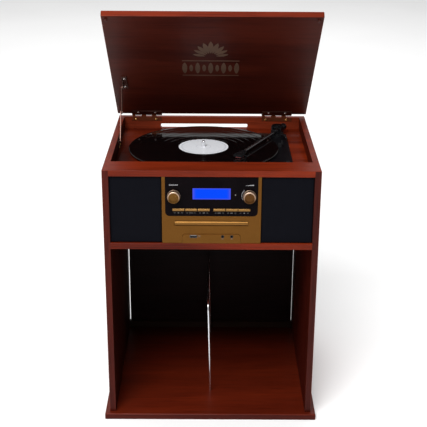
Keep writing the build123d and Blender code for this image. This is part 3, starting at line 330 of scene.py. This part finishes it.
def lcd_mat(name):
    """Back-lit display: even blue field, a lighter violet border and a faint cell grid."""
    m = Mat(name)
    v = m.coords()
    sep = m.n("ShaderNodeSeparateXYZ")
    m.l(v, sep.inputs[0])
    dx = m.math("SUBTRACT", 0.0350, m.math("ABSOLUTE", sep.outputs[0]))
    dz = m.math("SUBTRACT", 0.01105, m.math("ABSOLUTE", m.math("SUBTRACT", sep.outputs[2], 0.47465)))
    edge = m.math("MINIMUM", m.math("MULTIPLY", dx, 0.62), dz)
    border = m.ramp(m.math("MULTIPLY", edge, 300.0), [(0.0, (1,)), (0.42, (0.85,)), (0.72, (0,))])
    side = m.ramp(m.math("MULTIPLY", dx, 120.0), [(0.0, (1,)), (0.55, (0.5,)), (0.9, (0,))])
    core = m.mix(side, (0.0, 0.065, 1.0), (0.020, 0.070, 0.84))
    col = m.mix(border, core, (0.065, 0.085, 0.80))
    gx = m.math("SINE", m.math("MULTIPLY", sep.outputs[0], 2 * math.pi / 0.0006))
    gz = m.math("SINE", m.math("MULTIPLY", sep.outputs[2], 2 * math.pi / 0.0006))
    grid = m.math("ADD", m.math("MULTIPLY", m.math("MAXIMUM", gx, gz), 0.03), 0.97)
    m.set(base=(0.0, 0.004, 0.03), rough=0.3, emit=col, emit_s=m.math("MULTIPLY", grid, 0.97),
          spec=0.03)
    return m.m


def arm_mat(name):
    """Bare metal tube; the head shell and the weight at the other end are black."""
    m = Mat(name)
    a = math.radians(243.35)
    tc = m.n("ShaderNodeTexCoord")
    sub = m.n("ShaderNodeVectorMath", operation="SUBTRACT")
    sub.inputs[1].default_value = (0.138, 0.122, 0.0)
    m.l(tc.outputs["Object"], sub.inputs[0])
    dot = m.n("ShaderNodeVectorMath", operation="DOT_PRODUCT")
    dot.inputs[1].default_value = (math.cos(a), math.sin(a), 0.0)
    m.l(sub.outputs[0], dot.inputs[0])
    tube = m.ramp(m.math("MULTIPLY", dot.outputs["Value"], 5.0),
                  [(0.0, (0,)), (0.060, (0,)), (0.065, (1,)), (0.800, (1,)), (0.805, (0,))])
    sm = m.noise(m.coords(scale=(40,) * 3), 1.0, 3.0, 0.6)
    m.set(base=m.mix(tube, (0.006, 0.006, 0.007), m.ramp(sm, [(0.3, (0.24, 0.23, 0.24)), (0.7, (0.32, 0.31, 0.32))])),
          metal=tube, rough=m.math("ADD", m.math("MULTIPLY", sm, 0.10), 0.22), spec=0.25)
    return m.m


def paint(name, col, rough=0.5, emit=0.0):
    m = Mat(name)
    g = m.noise(m.coords(scale=(1500,) * 3), 1.0, 2.0, 0.5)
    lo = tuple(c * 0.88 for c in col)
    m.set(base=m.ramp(g, [(0.3, lo), (0.7, col)]), rough=rough, emit=col, emit_s=emit)
    return m.m


WOOD_X = wood("gloss_mahogany_x", "x", seed=0.3)
# painted shade: the shelf's front faces are darkened
WOOD_SHELF = wood("gloss_mahogany_shelf", "x", seed=2.3, faces=[((0, -1, 0), (0.72, 0.66, 0.60))])
# painted shade: the base is a darker copy of the mahogany, its front faces are darkened further, and it darkens toward
# the back for the light's falloff
WOOD_BASE = wood("gloss_mahogany_base", "x", (0.052, 0.0048, 0.0018), (0.155, 0.0165, 0.0042), seed=5.1,
                 contrast=0.55, faces=[((0, -1, 0), (0.54, 0.48, 0.66))],
                 depth=[(-0.19, 1.0), (-0.14, 1.08), (-0.05, 0.78), (0.07, 0.66), (0.16, 0.26)])
# painted shade: the side panels' inner faces and front faces are darkened, the left panel's inner face most
WOOD_Z1 = wood("gloss_mahogany_left", "z", seed=1.1,
               faces=[((1, 0, 0), (0.20, 0.28, 0.60)), ((0, -1, 0), (0.42, 0.40, 0.70))])
WOOD_Z2 = wood("gloss_mahogany_right", "z", seed=3.7,
               faces=[((-1, 0, 0), (0.34, 0.34, 0.60)), ((0, -1, 0), (0.26, 0.26, 0.50))])
# painted shadow: the deck is darkened in the front corner of the well
WOOD_DECK = wood("gloss_mahogany_deck", "x", seed=4.2,
                 corner_shadow=([(-0.19, 0.0), (-0.165, 0.12), (-0.125, 1.0)], [(-0.02, 0.0), (0.05, 0.25), (0.095, 1.0)]))
# painted light: the well's back panel is a brighter copy of the mahogany, standing in for the light that reaches it
WOOD_WELL_LIT = wood("gloss_mahogany_well_lit", "x", (0.105, 0.014, 0.0055), (0.32, 0.045, 0.014), seed=7.3)
# painted shade: the lid's underside is darkened
WOOD_LID = wood("gloss_mahogany_lid", "x", seed=6.4, contrast=0.6, coat=0.06,
                faces=[(-LID_N, (0.31, 0.44, 0.95))])
# partly painted shade: the hardboard has its own dark brown, taken near-black for the shade at the back of the bay
HARDBOARD = wood("hardboard", "x", (0.006, 0.0022, 0.0024), (0.012, 0.0045, 0.0050), coat=0.0, seed=8)
RAWBOARD = wood("raw_board", "x", (0.008, 0.004, 0.003), (0.02, 0.009, 0.006), coat=0.0, seed=9)
STEEL = brushed("zinc_steel", (0.58, 0.57, 0.55), 0.34, "x", 0.2)
BRONZE = brushed("antique_steel", (0.115, 0.066, 0.054), 0.36, "x", 0.25)
# painted reflection: the cabinet leaves are a warm, lighter copy of the hinge metal, toned to the wood they reflect
HINGE_LEAF_REFLECT = brushed("hinge_leaf_painted_reflection", (0.22, 0.062, 0.026), 0.48, "x", 0.25)
BRASS_SCREW = brushed("brass_screw", (0.72, 0.44, 0.16), 0.28, "x", 0.1, 400)
DARKSTEEL = brushed("socket_steel", (0.20, 0.19, 0.19), 0.40, "x", 0.2)
CHROME = brushed("chrome_wire", (0.82, 0.82, 0.84), 0.17, "y", 0.05)
GOLD = brushed("gold_fascia", (0.155, 0.066, 0.014), 0.40, "x", 0.22)
GOLD_TRAY = brushed("gold_tray", (0.24, 0.115, 0.030), 0.34, "x", 0.2)
KEYGOLD = brushed("gold_keys", (0.26, 0.140, 0.044), 0.30, "x", 0.12)
# painted shade: the right knob is a darker copy of the same gold as the left
KNOB_L = turned("gold_knob_left", (0.135, 0.064, 0.016), (-0.0697, 0, 0.4706), rough=0.34, crown=True)
KNOB_R = turned("gold_knob_right", (0.098, 0.042, 0.013), (0.0697, 0, 0.4706), rough=0.34, crown=True)
BLACK = plastic("black_plastic", (0.010, 0.010, 0.011), 0.38)
BLACK_DECK = plastic("black_deck", (0.0045, 0.0040, 0.0052), 0.36, 1400, 0.12, spec=0.12)
ARM_BLACK = plastic("arm_plastic", (0.006, 0.006, 0.007), 0.26, 900, 0.08, coat=0.25)
WINDOW = plastic("smoked_acrylic", (0.0022, 0.0010, 0.0016), 0.20, 60, 0.02, spec=0.03)
RED = plastic("red_cartridge", (0.75, 0.16, 0.17), 0.28, 800, 0.06, coat=0.5)
BUMPER = plastic("bumper_rubber", (0.040, 0.0065, 0.0035), 0.6, 1200, 0.3)
RUBBER = plastic("belt_rubber", (0.012, 0.012, 0.012), 0.7, 1200, 0.3)
GREEN = plastic("circuit_laminate", (0.010, 0.070, 0.022), 0.35, 500, 0.1)
PAPER = plastic("pressed_paper", (0.018, 0.018, 0.018), 0.8, 900, 0.4)
BRASS = turned("pulley_brass", (0.75, 0.52, 0.22), (-0.0945, 0.024, 0), "z")
ALU = turned("platter_metal", (0.22, 0.22, 0.23), SPIN, "z", 0.3, 4000)
IRON = brushed("transformer_iron", (0.10, 0.10, 0.11), 0.5, "x", 0.3)
VINYL = vinyl("record_vinyl")
LABEL = label_mat("label_paper")
CLOTH = cloth_mat("speaker_cloth")
ARM_TUBE = arm_mat("arm_tube")
LCD = lcd_mat("lcd_blue")
# painted glow: the white and grey inks are given a faint emission, though the print is no lamp
INK = paint("white_ink", (0.46, 0.46, 0.48), 0.5, 0.06)
INK_DIM = paint("grey_ink", (0.17, 0.165, 0.155), 0.5, 0.01)
INK_GOLD = paint("gold_ink", (0.16, 0.11, 0.07), 0.35)
DARK = plastic("dark_hole", (0.003, 0.003, 0.003), 0.6)

ASSIGN = {
    "base_board": WOOD_BASE, "side_panel_left": WOOD_Z1, "side_panel_right": WOOD_Z2,
    "bay_ceiling_shelf": WOOD_SHELF, "top_front_rail": WOOD_X, "deck_board": WOOD_DECK,
    "back_panel_upper": WOOD_WELL_LIT, "back_panel_lower": HARDBOARD, "back_cleat": RAWBOARD,
    "front_baffle": RAWBOARD, "lid": WOOD_LID, "cabinet_screws": STEEL, "lid_screws": STEEL,
    "hinge_cabinet_leaves": HINGE_LEAF_REFLECT, "hinge_lid_leaves": BRONZE, "hinge_pins": STEEL,
    "stay_lid_bracket": BRONZE, "stay_wall_bracket": BRONZE, "stay_upper_arm": BRONZE,
    "stay_lower_arm": BRONZE, "spindle": CHROME, "motor": STEEL, "speaker_frames": STEEL,
    "cd_drive_housing": STEEL, "record_divider": CHROME, "grille_left": CLOTH,
    "grille_right": CLOTH, "speaker_cones": PAPER, "fascia": GOLD, "tuning_knob": KNOB_L,
    "volume_knob": KNOB_R, "cd_tray": GOLD_TRAY, "display_window": WINDOW, "lcd_panel": LCD,
    "circuit_board": GREEN, "board_switches": BLACK, "front_jacks": BLACK,
    "rear_connector_plate": BLACK, "turntable_plate": BLACK_DECK, "arm_turret": ARM_BLACK,
    "arm_yoke": ARM_BLACK, "tonearm": ARM_TUBE, "arm_rest": BLACK, "cue_lever": ARM_BLACK,
    "speed_selector": BLACK, "usb_socket": DARKSTEEL, "power_transformer": IRON, "platter": ALU,
    "drive_belt": RUBBER, "lid_bumpers": BUMPER, "motor_pulley": BRASS, "record": VINYL,
    "record_label": LABEL, "stylus_cartridge": RED,
}
for i in range(1, 7):
    ASSIGN["key_%d" % i] = KEYGOLD
for node, ob in NODES.items():
    mat = ASSIGN.get(node, BLACK)
    if not ob.material_slots:
        ob.data.materials.append(mat)
    for s in ob.material_slots:
        s.material = mat


# ------------------------------------------------------------- mesh helpers
def make(name, bm, mat, body, smooth=False):
    me = bpy.data.meshes.new(name)
    bmesh.ops.recalc_face_normals(bm, faces=bm.faces)
    if smooth:
        for f in bm.faces:
            f.smooth = True
    bm.to_mesh(me)
    bm.free()
    ob = bpy.data.objects.new(name, me)
    bpy.context.scene.collection.objects.link(ob)
    me.materials.append(mat)
    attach(ob, body)
    return ob


def add_box(bm, lo, hi):
    vs = [bm.verts.new((x, y, z)) for x in (lo[0], hi[0]) for y in (lo[1], hi[1])
          for z in (lo[2], hi[2])]
    for q in ((0, 1, 3, 2), (4, 6, 7, 5), (0, 4, 5, 1), (2, 3, 7, 6), (0, 2, 6, 4), (1, 5, 7, 3)):
        bm.faces.new([vs[i] for i in q])


def add_prism(bm, pts, y0, y1):
    """Closed prism from (x, z) points, between two y values."""
    a = [bm.verts.new((x, y0, z)) for x, z in pts]
    b = [bm.verts.new((x, y1, z)) for x, z in pts]
    bm.faces.new(a)
    bm.faces.new(list(reversed(b)))
    n = len(pts)
    for i in range(n):
        bm.faces.new((a[i], a[(i + 1) % n], b[(i + 1) % n], b[i]))


def lathe(bm, prof, centre, axis, steps=96, wobble=None):
    """Surface of revolution. prof is [(radius, height)], closed on the axis at both ends."""
    rings = []
    ux, uy = {"z": (Vector((1, 0, 0)), Vector((0, 1, 0))),
              "y": (Vector((1, 0, 0)), Vector((0, 0, 1)))}[axis]
    up = {"z": Vector((0, 0, 1)), "y": Vector((0, 1, 0))}[axis]
    c = Vector(centre)
    for k, (r, h) in enumerate(prof):
        if r < 1e-7:
            rings.append([bm.verts.new(c + up * h)])
            continue
        ring = []
        for i in range(steps):
            a = 2 * math.pi * i / steps
            rad = r + (wobble(k, i) if wobble else 0.0)
            ring.append(bm.verts.new(c + up * h + ux * (rad * math.cos(a)) + uy * (rad * math.sin(a))))
        rings.append(ring)
    for p, q in zip(rings, rings[1:]):
        for i in range(steps):
            j = (i + 1) % steps
            if len(p) == 1 and len(q) > 1:
                bm.faces.new((p[0], q[j], q[i]))
            elif len(q) == 1 and len(p) > 1:
                bm.faces.new((p[i], p[j], q[0]))
            elif len(p) > 1:
                bm.faces.new((p[i], p[j], q[j], q[i]))


def auto_smooth(ob, deg=35):
    for p in ob.data.polygons:
        p.use_smooth = True
    bm = bmesh.new()
    bm.from_mesh(ob.data)
    lim = math.radians(deg)
    for e in bm.edges:
        if len(e.link_faces) == 2 and e.calc_face_angle(0) > lim:
            e.smooth = False
    bm.to_mesh(ob.data)
    bm.free()


# ------------------------------------------------------------ speaker cloth
def cloth(name, x0, x1, node):
    """Cloth stretched over the baffle: it dips a little over the driver and turns in at its edges."""
    z0, z1 = 0.3765, 0.508
    nx, nz = 94, 132
    bm = bmesh.new()
    cx, cz = (0.139 if x0 > 0 else -0.139), 0.442
    grid = []
    for j in range(nz + 1):
        row = []
        for i in range(nx + 1):
            x = x0 + 0.0004 + (x1 - x0 - 0.0008) * i / nx
            z = z0 + 0.0004 + (z1 - z0 - 0.0008) * j / nz
            e = min(i, nx - i, (j), (nz - j)) / 3.0
            turn = 0.0 if e >= 1 else 0.0011 * (1 - math.sqrt(max(0.0, 1 - (1 - e) ** 2)))
            d = math.hypot(x - cx, z - cz) / 0.034
            dip = 0.00035 * (1 - d * d) ** 2 if d < 1 else 0.0
            slub = 0.00003 * math.sin(x * 5100) * math.sin(z * 5300)
            row.append(bm.verts.new((x, -0.17845 + turn + dip + slub, z)))
        grid.append(row)
    for j in range(nz):
        for i in range(nx):
            bm.faces.new((grid[j][i], grid[j][i + 1], grid[j + 1][i + 1], grid[j + 1][i]))
    # thickness: the back of the sheet
    ob = make(name, bm, CLOTH, "cabinet", smooth=True)
    md = ob.modifiers.new("thick", "SOLIDIFY")
    md.thickness = 0.0003
    md.offset = -1.0
    bpy.context.view_layer.objects.active = ob
    bpy.ops.object.modifier_apply(modifier=md.name)
    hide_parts(node)
    return ob


cloth("speaker_cloth_left", -0.1888, -0.092, "grille_left")
cloth("speaker_cloth_right", 0.092, 0.1888, "grille_right")


# ------------------------------------------------------------------- record
def record_piece():
    bm = bmesh.new()
    top, bot = 0.5018, 0.5000
    prof = [(0.00365, bot), (0.00365, top - 0.0001)]
    r = 0.0515
    prof += [(0.050, top - 0.0001), (0.0515, top - 0.0002)]
    bands = [(0.0595, 0.0600), (0.0745, 0.0755), (0.0885, 0.0895), (0.1035, 0.1045),
             (0.1185, 0.1195), (0.1320, 0.1330), (0.1465, 0.1470)]
    z_groove, z_gap = top - 0.00042, top - 0.00055
    r = 0.0530
    while r < 0.1468:
        gap = any(a <= r <= b for a, b in bands)
        z = z_gap if gap else z_groove + (0.000003 if int(round(r / 0.0007)) % 2 else 0.0)
        prof.append((r, z))
        r += 0.0007
    prof += [(0.1472, z_gap), (0.1482, top - 0.0002), (0.1492, top), (0.1502, top - 0.0003),
             (0.1508, bot + 0.0009), (0.1502, bot + 0.0003), (0.1492, bot), (0.00365, bot)]
    lathe(bm, prof, (SPIN.x, SPIN.y, 0), "z", 256)
    bmesh.ops.remove_doubles(bm, verts=bm.verts, dist=1e-6)
    ob = make("record_disc", bm, VINYL, "platter")
    auto_smooth(ob, 30)
    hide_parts("record")


record_piece()


# -------------------------------------------------------------------- knobs
def knob_piece(name, x, mat, body, node, line):
    bm = bmesh.new()
    fr, bk = -0.1929, -0.1819
    ridges = 48
    prof = [(0.0, fr + 0.0009), (0.0060, fr + 0.0009), (0.0088, fr + 0.0007), (0.0095, fr + 0.0001),
            (0.0101, fr), (0.0108, fr + 0.0002), (0.0114, fr + 0.0009), (0.0117, fr + 0.0016),
            (0.0117, fr + 0.0020), (0.0118, bk - 0.0022), (0.0118, bk - 0.0018),
            (0.0122, bk - 0.0014), (0.0122, bk - 0.0002), (0.0120, bk), (0.0095, bk),
            (0.0095, bk - 0.004), (0.0030, bk - 0.004), (0.0030, -0.1768), (0.0, -0.1768)]

    def wob(k, i):
        if 8 <= k <= 9:
            return -0.00035 if (i % 4) in (0, 1) else 0.0
        return 0.0
    lathe(bm, prof, (x, 0, 0.4706), "y", ridges * 4, wob)
    ob = make(name, bm, mat, body)
    auto_smooth(ob, 40)
    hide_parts(node)
    if line:
        bm = bmesh.new()
        a = math.radians(90)
        add_box(bm, (x - 0.0005, fr + 0.0001, 0.4706 + 0.0048), (x + 0.0005, fr + 0.0012, 0.4706 + 0.0084))
        make(name + "_pointer", bm, DARK, body)
    return ob


knob_piece("volume_knob_turned", 0.0697, KNOB_R, "volume_knob", "volume_knob", True)
knob_piece("tuning_knob_turned", -0.0697, KNOB_L, "tuning_knob", "tuning_knob", False)
# finger dimple rim on the tuning knob
bm = bmesh.new()
lathe(bm, [(0.0017, -0.19215), (0.0021, -0.1924), (0.0026, -0.1924), (0.0030, -0.19205)],
      (-0.0697 + 0.0048, 0, 0.4706), "y", 40)
make("tuning_knob_dimple_rim", bm, KNOB_L, "tuning_knob", smooth=True)


# --------------------------------------------------- printing on the window
def ink_prisms(name, shapes, y, mat=INK, depth=0.00006):
    bm = bmesh.new()
    for pts in shapes:
        add_prism(bm, pts, y - depth, y + depth)
    return make(name, bm, mat, "cabinet")


def bar(x, z, w, h):
    return [(x - w / 2, z - h / 2), (x + w / 2, z - h / 2), (x + w / 2, z + h / 2), (x - w / 2, z + h / 2)]


# scale above the tuning knob and stepped bars above the volume knob
shapes = []
for i in range(13):
    h = 0.0019 if i % 3 == 0 else 0.0012
    shapes.append(bar(-0.0775 + i * 0.00125, 0.4915 + h / 2, 0.00055, h))
shapes.append(bar(-0.070, 0.49125, 0.0157, 0.00035))
for i in range(10):
    h = 0.0005 + 0.00017 * i
    shapes.append(bar(0.0630 + i * 0.00155, 0.4910 + h / 2, 0.0010, h))
# wedge of marks round the volume knob
for i in range(9):
    a = math.radians(208 - i * 9.5)
    r0, r1 = 0.0136, 0.0136 + 0.0008 + 0.00022 * i
    w = 0.00032
    ca, sa = math.cos(a), math.sin(a)
    p = [(0.0697 + r0 * ca - w * sa, 0.4706 + r0 * sa + w * ca),
         (0.0697 + r1 * ca - w * sa, 0.4706 + r1 * sa + w * ca),
         (0.0697 + r1 * ca + w * sa, 0.4706 + r1 * sa - w * ca),
         (0.0697 + r0 * ca + w * sa, 0.4706 + r0 * sa - w * ca)]
    shapes.append(p)
ink_prisms("window_scales", shapes, WINDOW_FACE)

# symbols under the keys
KX = [-0.0612, -0.0378, -0.0144, 0.0145, 0.0375, 0.0605]
ZS = 0.4374
shapes = []


def tri(x, z, s, right=True):
    d = s if right else -s
    return [(x - d / 2, z - s / 2), (x + d / 2, z), (x - d / 2, z + s / 2)] if right else \
           [(x + s / 2, z - s / 2), (x + s / 2, z + s / 2), (x - s / 2, z)]


for k, x in enumerate(KX):
    if k == 0:      # power ring, as a short arc of blocks
        for i in range(10):
            a = math.radians(120 + i * 33)
            shapes.append(bar(x + 0.0010 * math.cos(a), ZS + 0.0010 * math.sin(a), 0.0005, 0.0005))
        shapes.append(bar(x, ZS + 0.0010, 0.0004, 0.0012))
    elif k == 1:
        shapes += [bar(x - 0.0024, ZS, 0.0012, 0.0012), bar(x, ZS, 0.0012, 0.0012), bar(x + 0.0024, ZS, 0.0012, 0.0012)]
    elif k == 2:
        shapes += [tri(x - 0.0012, ZS, 0.0020, False), tri(x + 0.0010, ZS, 0.0020, False)]
    elif k == 3:
        shapes += [tri(x - 0.0016, ZS, 0.0020), bar(x + 0.0007, ZS, 0.0005, 0.0019), bar(x + 0.0018, ZS, 0.0005, 0.0019)]
    elif k == 4:
        shapes += [tri(x - 0.0012, ZS, 0.0020), tri(x + 0.0010, ZS, 0.0020)]
    else:
        shapes += [bar(x, ZS, 0.0020, 0.0019)]
    shapes.append(bar(x - 0.0068, ZS, 0.0030, 0.0005))
    shapes.append(bar(x + 0.0068, ZS, 0.0030, 0.0005))
ink_prisms("key_symbols", shapes, WINDOW_FACE, INK_DIM)

# remote sensor dot: a small dome in the window
bm = bmesh.new()
lathe(bm, [(0.0, WINDOW_FACE - 0.0003), (0.0007, WINDOW_FACE - 0.00025), (0.0012, WINDOW_FACE),
           (0.0012, WINDOW_FACE + 0.0002), (0.0, WINDOW_FACE + 0.0002)], (0.0440, 0, 0.4729), "y", 32)
make("remote_sensor_dome", bm, INK_DIM, "cabinet", smooth=True)

# marks on the lower tab: short rules by the sockets
TAB = FACE - 0.0012
shapes = [bar(0.021, 0.3861, 0.0042, 0.0006), bar(0.038, 0.3861, 0.0042, 0.0006),
          bar(-0.0225, 0.3921, 0.0040, 0.0005), bar(-0.0225, 0.3901, 0.0040, 0.0005)]
ink_prisms("socket_marks", shapes, TAB, INK_DIM)


# ------------------------------------------------------------------- screws
def screw_heads(name, places, mat, body, node, r=0.0025, h=0.0013):
    """Pan heads with a cross recess. places: (seat point, outward direction, spin)."""
    bm = bmesh.new()
    for pos, out, spin in places:
        out = Vector(out).normalized()
        tmp = bmesh.new()
        steps = 40
        prof = [(0.0, -0.0006), (r, -0.0006), (r, h * 0.35), (r * 0.93, h * 0.68), (r * 0.72, h * 0.93),
                (r * 0.45, h)]
        lathe(tmp, prof, (0, 0, 0), "z", steps)
        # recessed cross: the inner disc is cut to a sunk star
        ring = [v for v in tmp.verts if abs(v.co.z - h) < 1e-9]
        ring.sort(key=lambda v: math.atan2(v.co.y, v.co.x))
        inner = []
        for v in ring:
            a = math.atan2(v.co.y, v.co.x)
            c = abs(math.cos(2 * a))
            rr = r * (0.40 if c > 0.80 else 0.14)
            inner.append(tmp.verts.new((rr * math.cos(a), rr * math.sin(a), h)))
        low = [tmp.verts.new((v.co.x * 0.8, v.co.y * 0.8, h * 0.35)) for v in inner]
        cen = tmp.verts.new((0, 0, h * 0.25))
        n = len(ring)
        for i in range(n):
            j = (i + 1) % n
            tmp.faces.new((ring[i], ring[j], inner[j], inner[i]))
            tmp.faces.new((inner[i], inner[j], low[j], low[i]))
            tmp.faces.new((low[i], low[j], cen))
        rot = Vector((0, 0, 1)).rotation_difference(out).to_matrix().to_4x4()
        mtx = Matrix.Translation(Vector(pos)) @ rot @ Matrix.Rotation(spin, 4, "Z")
        bmesh.ops.transform(tmp, matrix=mtx, verts=tmp.verts)
        me = bpy.data.meshes.new("tmp")
        tmp.to_mesh(me)
        tmp.free()
        bm.from_mesh(me)
        bpy.data.meshes.remove(me)
    ob = make(name, bm, mat, body)
    auto_smooth(ob, 38)
    if node:
        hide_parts(node)
    return ob


SCREW = brushed("screw_steel", (0.66, 0.62, 0.60), 0.26, "x", 0.1, 400)
places = []
for hx in (-0.140, 0.140):
    for dx in (-0.024, 0.020):
        places.append(((hx + dx, 0.1798, 0.5146), (0, -1, 0), rng.uniform(0, 1.5)))
for sy in (0.0345, 0.0525):
    places.append(((-0.1873, sy, 0.4973), (1, 0, 0), rng.uniform(0, 1.5)))
screw_heads("cabinet_screw_heads", places, BRASS_SCREW, "cabinet", "cabinet_screws")
places = []
for sx in (-0.165, -0.055, 0.055, 0.165):
    for sz in (0.020, 0.3705):
        places.append(((sx, 0.1918, sz), (0, 1, 0), rng.uniform(0, 1.5)))
screw_heads("back_screw_heads", places, SCREW, "cabinet", None, 0.0030, 0.0011)


def lid_pt(x, s, n):
    return HINGE + Vector((x, 0, 0)) + LID_S * s + LID_N * n


places = []
for hx in (-0.140, 0.140):
    for dx in (-0.018, 0.018):
        places.append((lid_pt(hx + dx, 0.011, -0.0025), tuple(-LID_N), rng.uniform(0, 1.5)))
for s in (0.122, 0.153):
    places.append((lid_pt(-0.1771, s, -0.0028), tuple(-LID_N), rng.uniform(0, 1.5)))
screw_heads("lid_screw_heads", places, SCREW, "lid", "lid_screws")

# ------------------------------------------- faint inlay on the lid's inside
def lid_inlay():
    """Generic inlay: a fan of leaves over a band of lozenges, flush to a tenth of a millimetre."""
    bm = bmesh.new()
    cx, cs = -0.003, 0.226

    def poly(pts):
        z0, z1 = -0.0013 - 0.00008, -0.0013 + 0.0004
        a = [bm.verts.new(lid_pt(x, s, z0)) for x, s in pts]
        b = [bm.verts.new(lid_pt(x, s, z1)) for x, s in pts]
        bm.faces.new(a)
        bm.faces.new(list(reversed(b)))
        n = len(pts)
        for i in range(n):
            bm.faces.new((a[i], b[i], b[(i + 1) % n], a[(i + 1) % n]))
    # fan of leaves over a band of lozenges
    for k in range(9):
        a = math.radians(12 + 19.5 * k)
        ca, sa = math.cos(a), 1.25 * math.sin(a)
        L, W = 0.044 - 0.0022 * abs(k - 4), 0.0042
        base = 0.011
        pts = []
        for t, w in ((0.0, 0.15), (0.25, 0.7), (0.55, 1.0), (0.8, 0.7), (1.0, 0.05)):
            pts.append((base + (L - base) * t, W * w))
        out = [(cx + r * ca - w * sa, cs + 0.011 + r * sa + w * ca) for r, w in pts]
        out += [(cx + r * ca + w * sa, cs + 0.011 + r * sa - w * ca) for r, w in reversed(pts)]
        poly(out)
    for k in range(9):
        x = cx + (k - 4) * 0.0128
        h = 0.0205 if k % 2 == 0 else 0.0130
        w = 0.0050 if k % 2 == 0 else 0.0038
        c = cs - 0.031
        poly([(x + w * math.cos(math.radians(b)) * (0.55 + 0.45 * abs(math.cos(math.radians(b)))),
               c + h * math.sin(math.radians(b))) for b in range(0, 360, 20)])
    for c, hw in ((cs - 0.0035, 0.056), (cs - 0.0585, 0.056)):
        poly([(cx - hw, c - 0.0014), (cx + hw, c - 0.0014), (cx + hw, c + 0.0014), (cx - hw, c + 0.0014)])
    make("lid_inlay", bm, INLAY, "lid")


INLAY = plastic("inlay_veneer", (0.100, 0.058, 0.038), 0.42, 300, 0.05, spec=0.10)
lid_inlay()

# ------------------------------------------------------------- floor, lights
bm = bmesh.new()
bmesh.ops.create_grid(bm, x_segments=1, y_segments=1, size=12.0)
me = bpy.data.meshes.new("studio_floor")
bm.to_mesh(me)
bm.free()
floor = bpy.data.objects.new("studio_floor", me)
floor.location = (0, 4.0, -0.0002)
bpy.context.scene.collection.objects.link(floor)
fm = Mat("studio_floor")
fn = fm.noise(fm.coords(scale=(2,) * 3), 1.0, 2.0, 0.5)
fm.set(base=fm.ramp(fn, [(0.3, (0.86, 0.86, 0.86)), (0.7, (0.89, 0.89, 0.89))]), rough=0.75, spec=0.15,
       emit=(1, 1, 1), emit_s=0.17)
me.materials.append(fm.m)

world = bpy.data.worlds.new("studio")
bpy.context.scene.world = world
world.use_nodes = True
bg = world.node_tree.nodes["Background"]
bg.inputs[0].default_value = (1.0, 1.0, 1.0, 1)
bg.inputs[1].default_value = 0.42


def area(name, loc, target, size, power, color=(1, 1, 1), size_y=None):
    ld = bpy.data.lights.new(name, "AREA")
    ld.shape = "RECTANGLE"
    ld.size = size
    ld.size_y = size_y or size
    ld.energy = power
    ld.color = color
    lo = bpy.data.objects.new(name, ld)
    lo.location = loc
    lo.rotation_euler = (Vector(target) - Vector(loc)).to_track_quat("-Z", "Y").to_euler()
    bpy.context.scene.collection.objects.link(lo)
    return lo


area("key_top", (-0.7, -1.95, 2.75), (0, 0.1, 0.3), 1.4, 92)
area("fill_left", (-2.4, -1.9, 1.7), (0, 0, 0.35), 1.2, 8, size_y=1.8)
area("back_top", (0, 2.8, 3.2), (0, 1.6, 0), 3.0, 70)

# -------------------------------------------------------------------- camera
cam_data = bpy.data.cameras.new("camera")
cam = bpy.data.objects.new("camera", cam_data)
bpy.context.scene.collection.objects.link(cam)
cam_data.sensor_width = 36.0
cam_data.lens = 983.4 / 427.0 * 36.0
cam_data.clip_end = 60
pitch, roll, yaw = math.radians(21.15), math.radians(0.374), math.radians(-0.187)
fwd = Vector((0, math.cos(pitch), -math.sin(pitch)))
down = Vector((0, -math.sin(pitch), -math.cos(pitch)))
right = Vector((1, 0, 0))
u = right * math.cos(roll) - down * math.sin(roll)
v = right * math.sin(roll) + down * math.cos(roll)
rz = Matrix.Rotation(yaw, 3, "Z")
u, v, fwd = rz @ u, rz @ v, rz @ fwd
cam.matrix_world = Matrix.Translation((-0.0018, -1.8765, 1.0923)) @ Matrix((
    (u.x, -v.x, -fwd.x), (u.y, -v.y, -fwd.y), (u.z, -v.z, -fwd.z))).to_4x4()
bpy.context.scene.camera = cam
bpy.context.scene.view_settings.view_transform = "Standard"
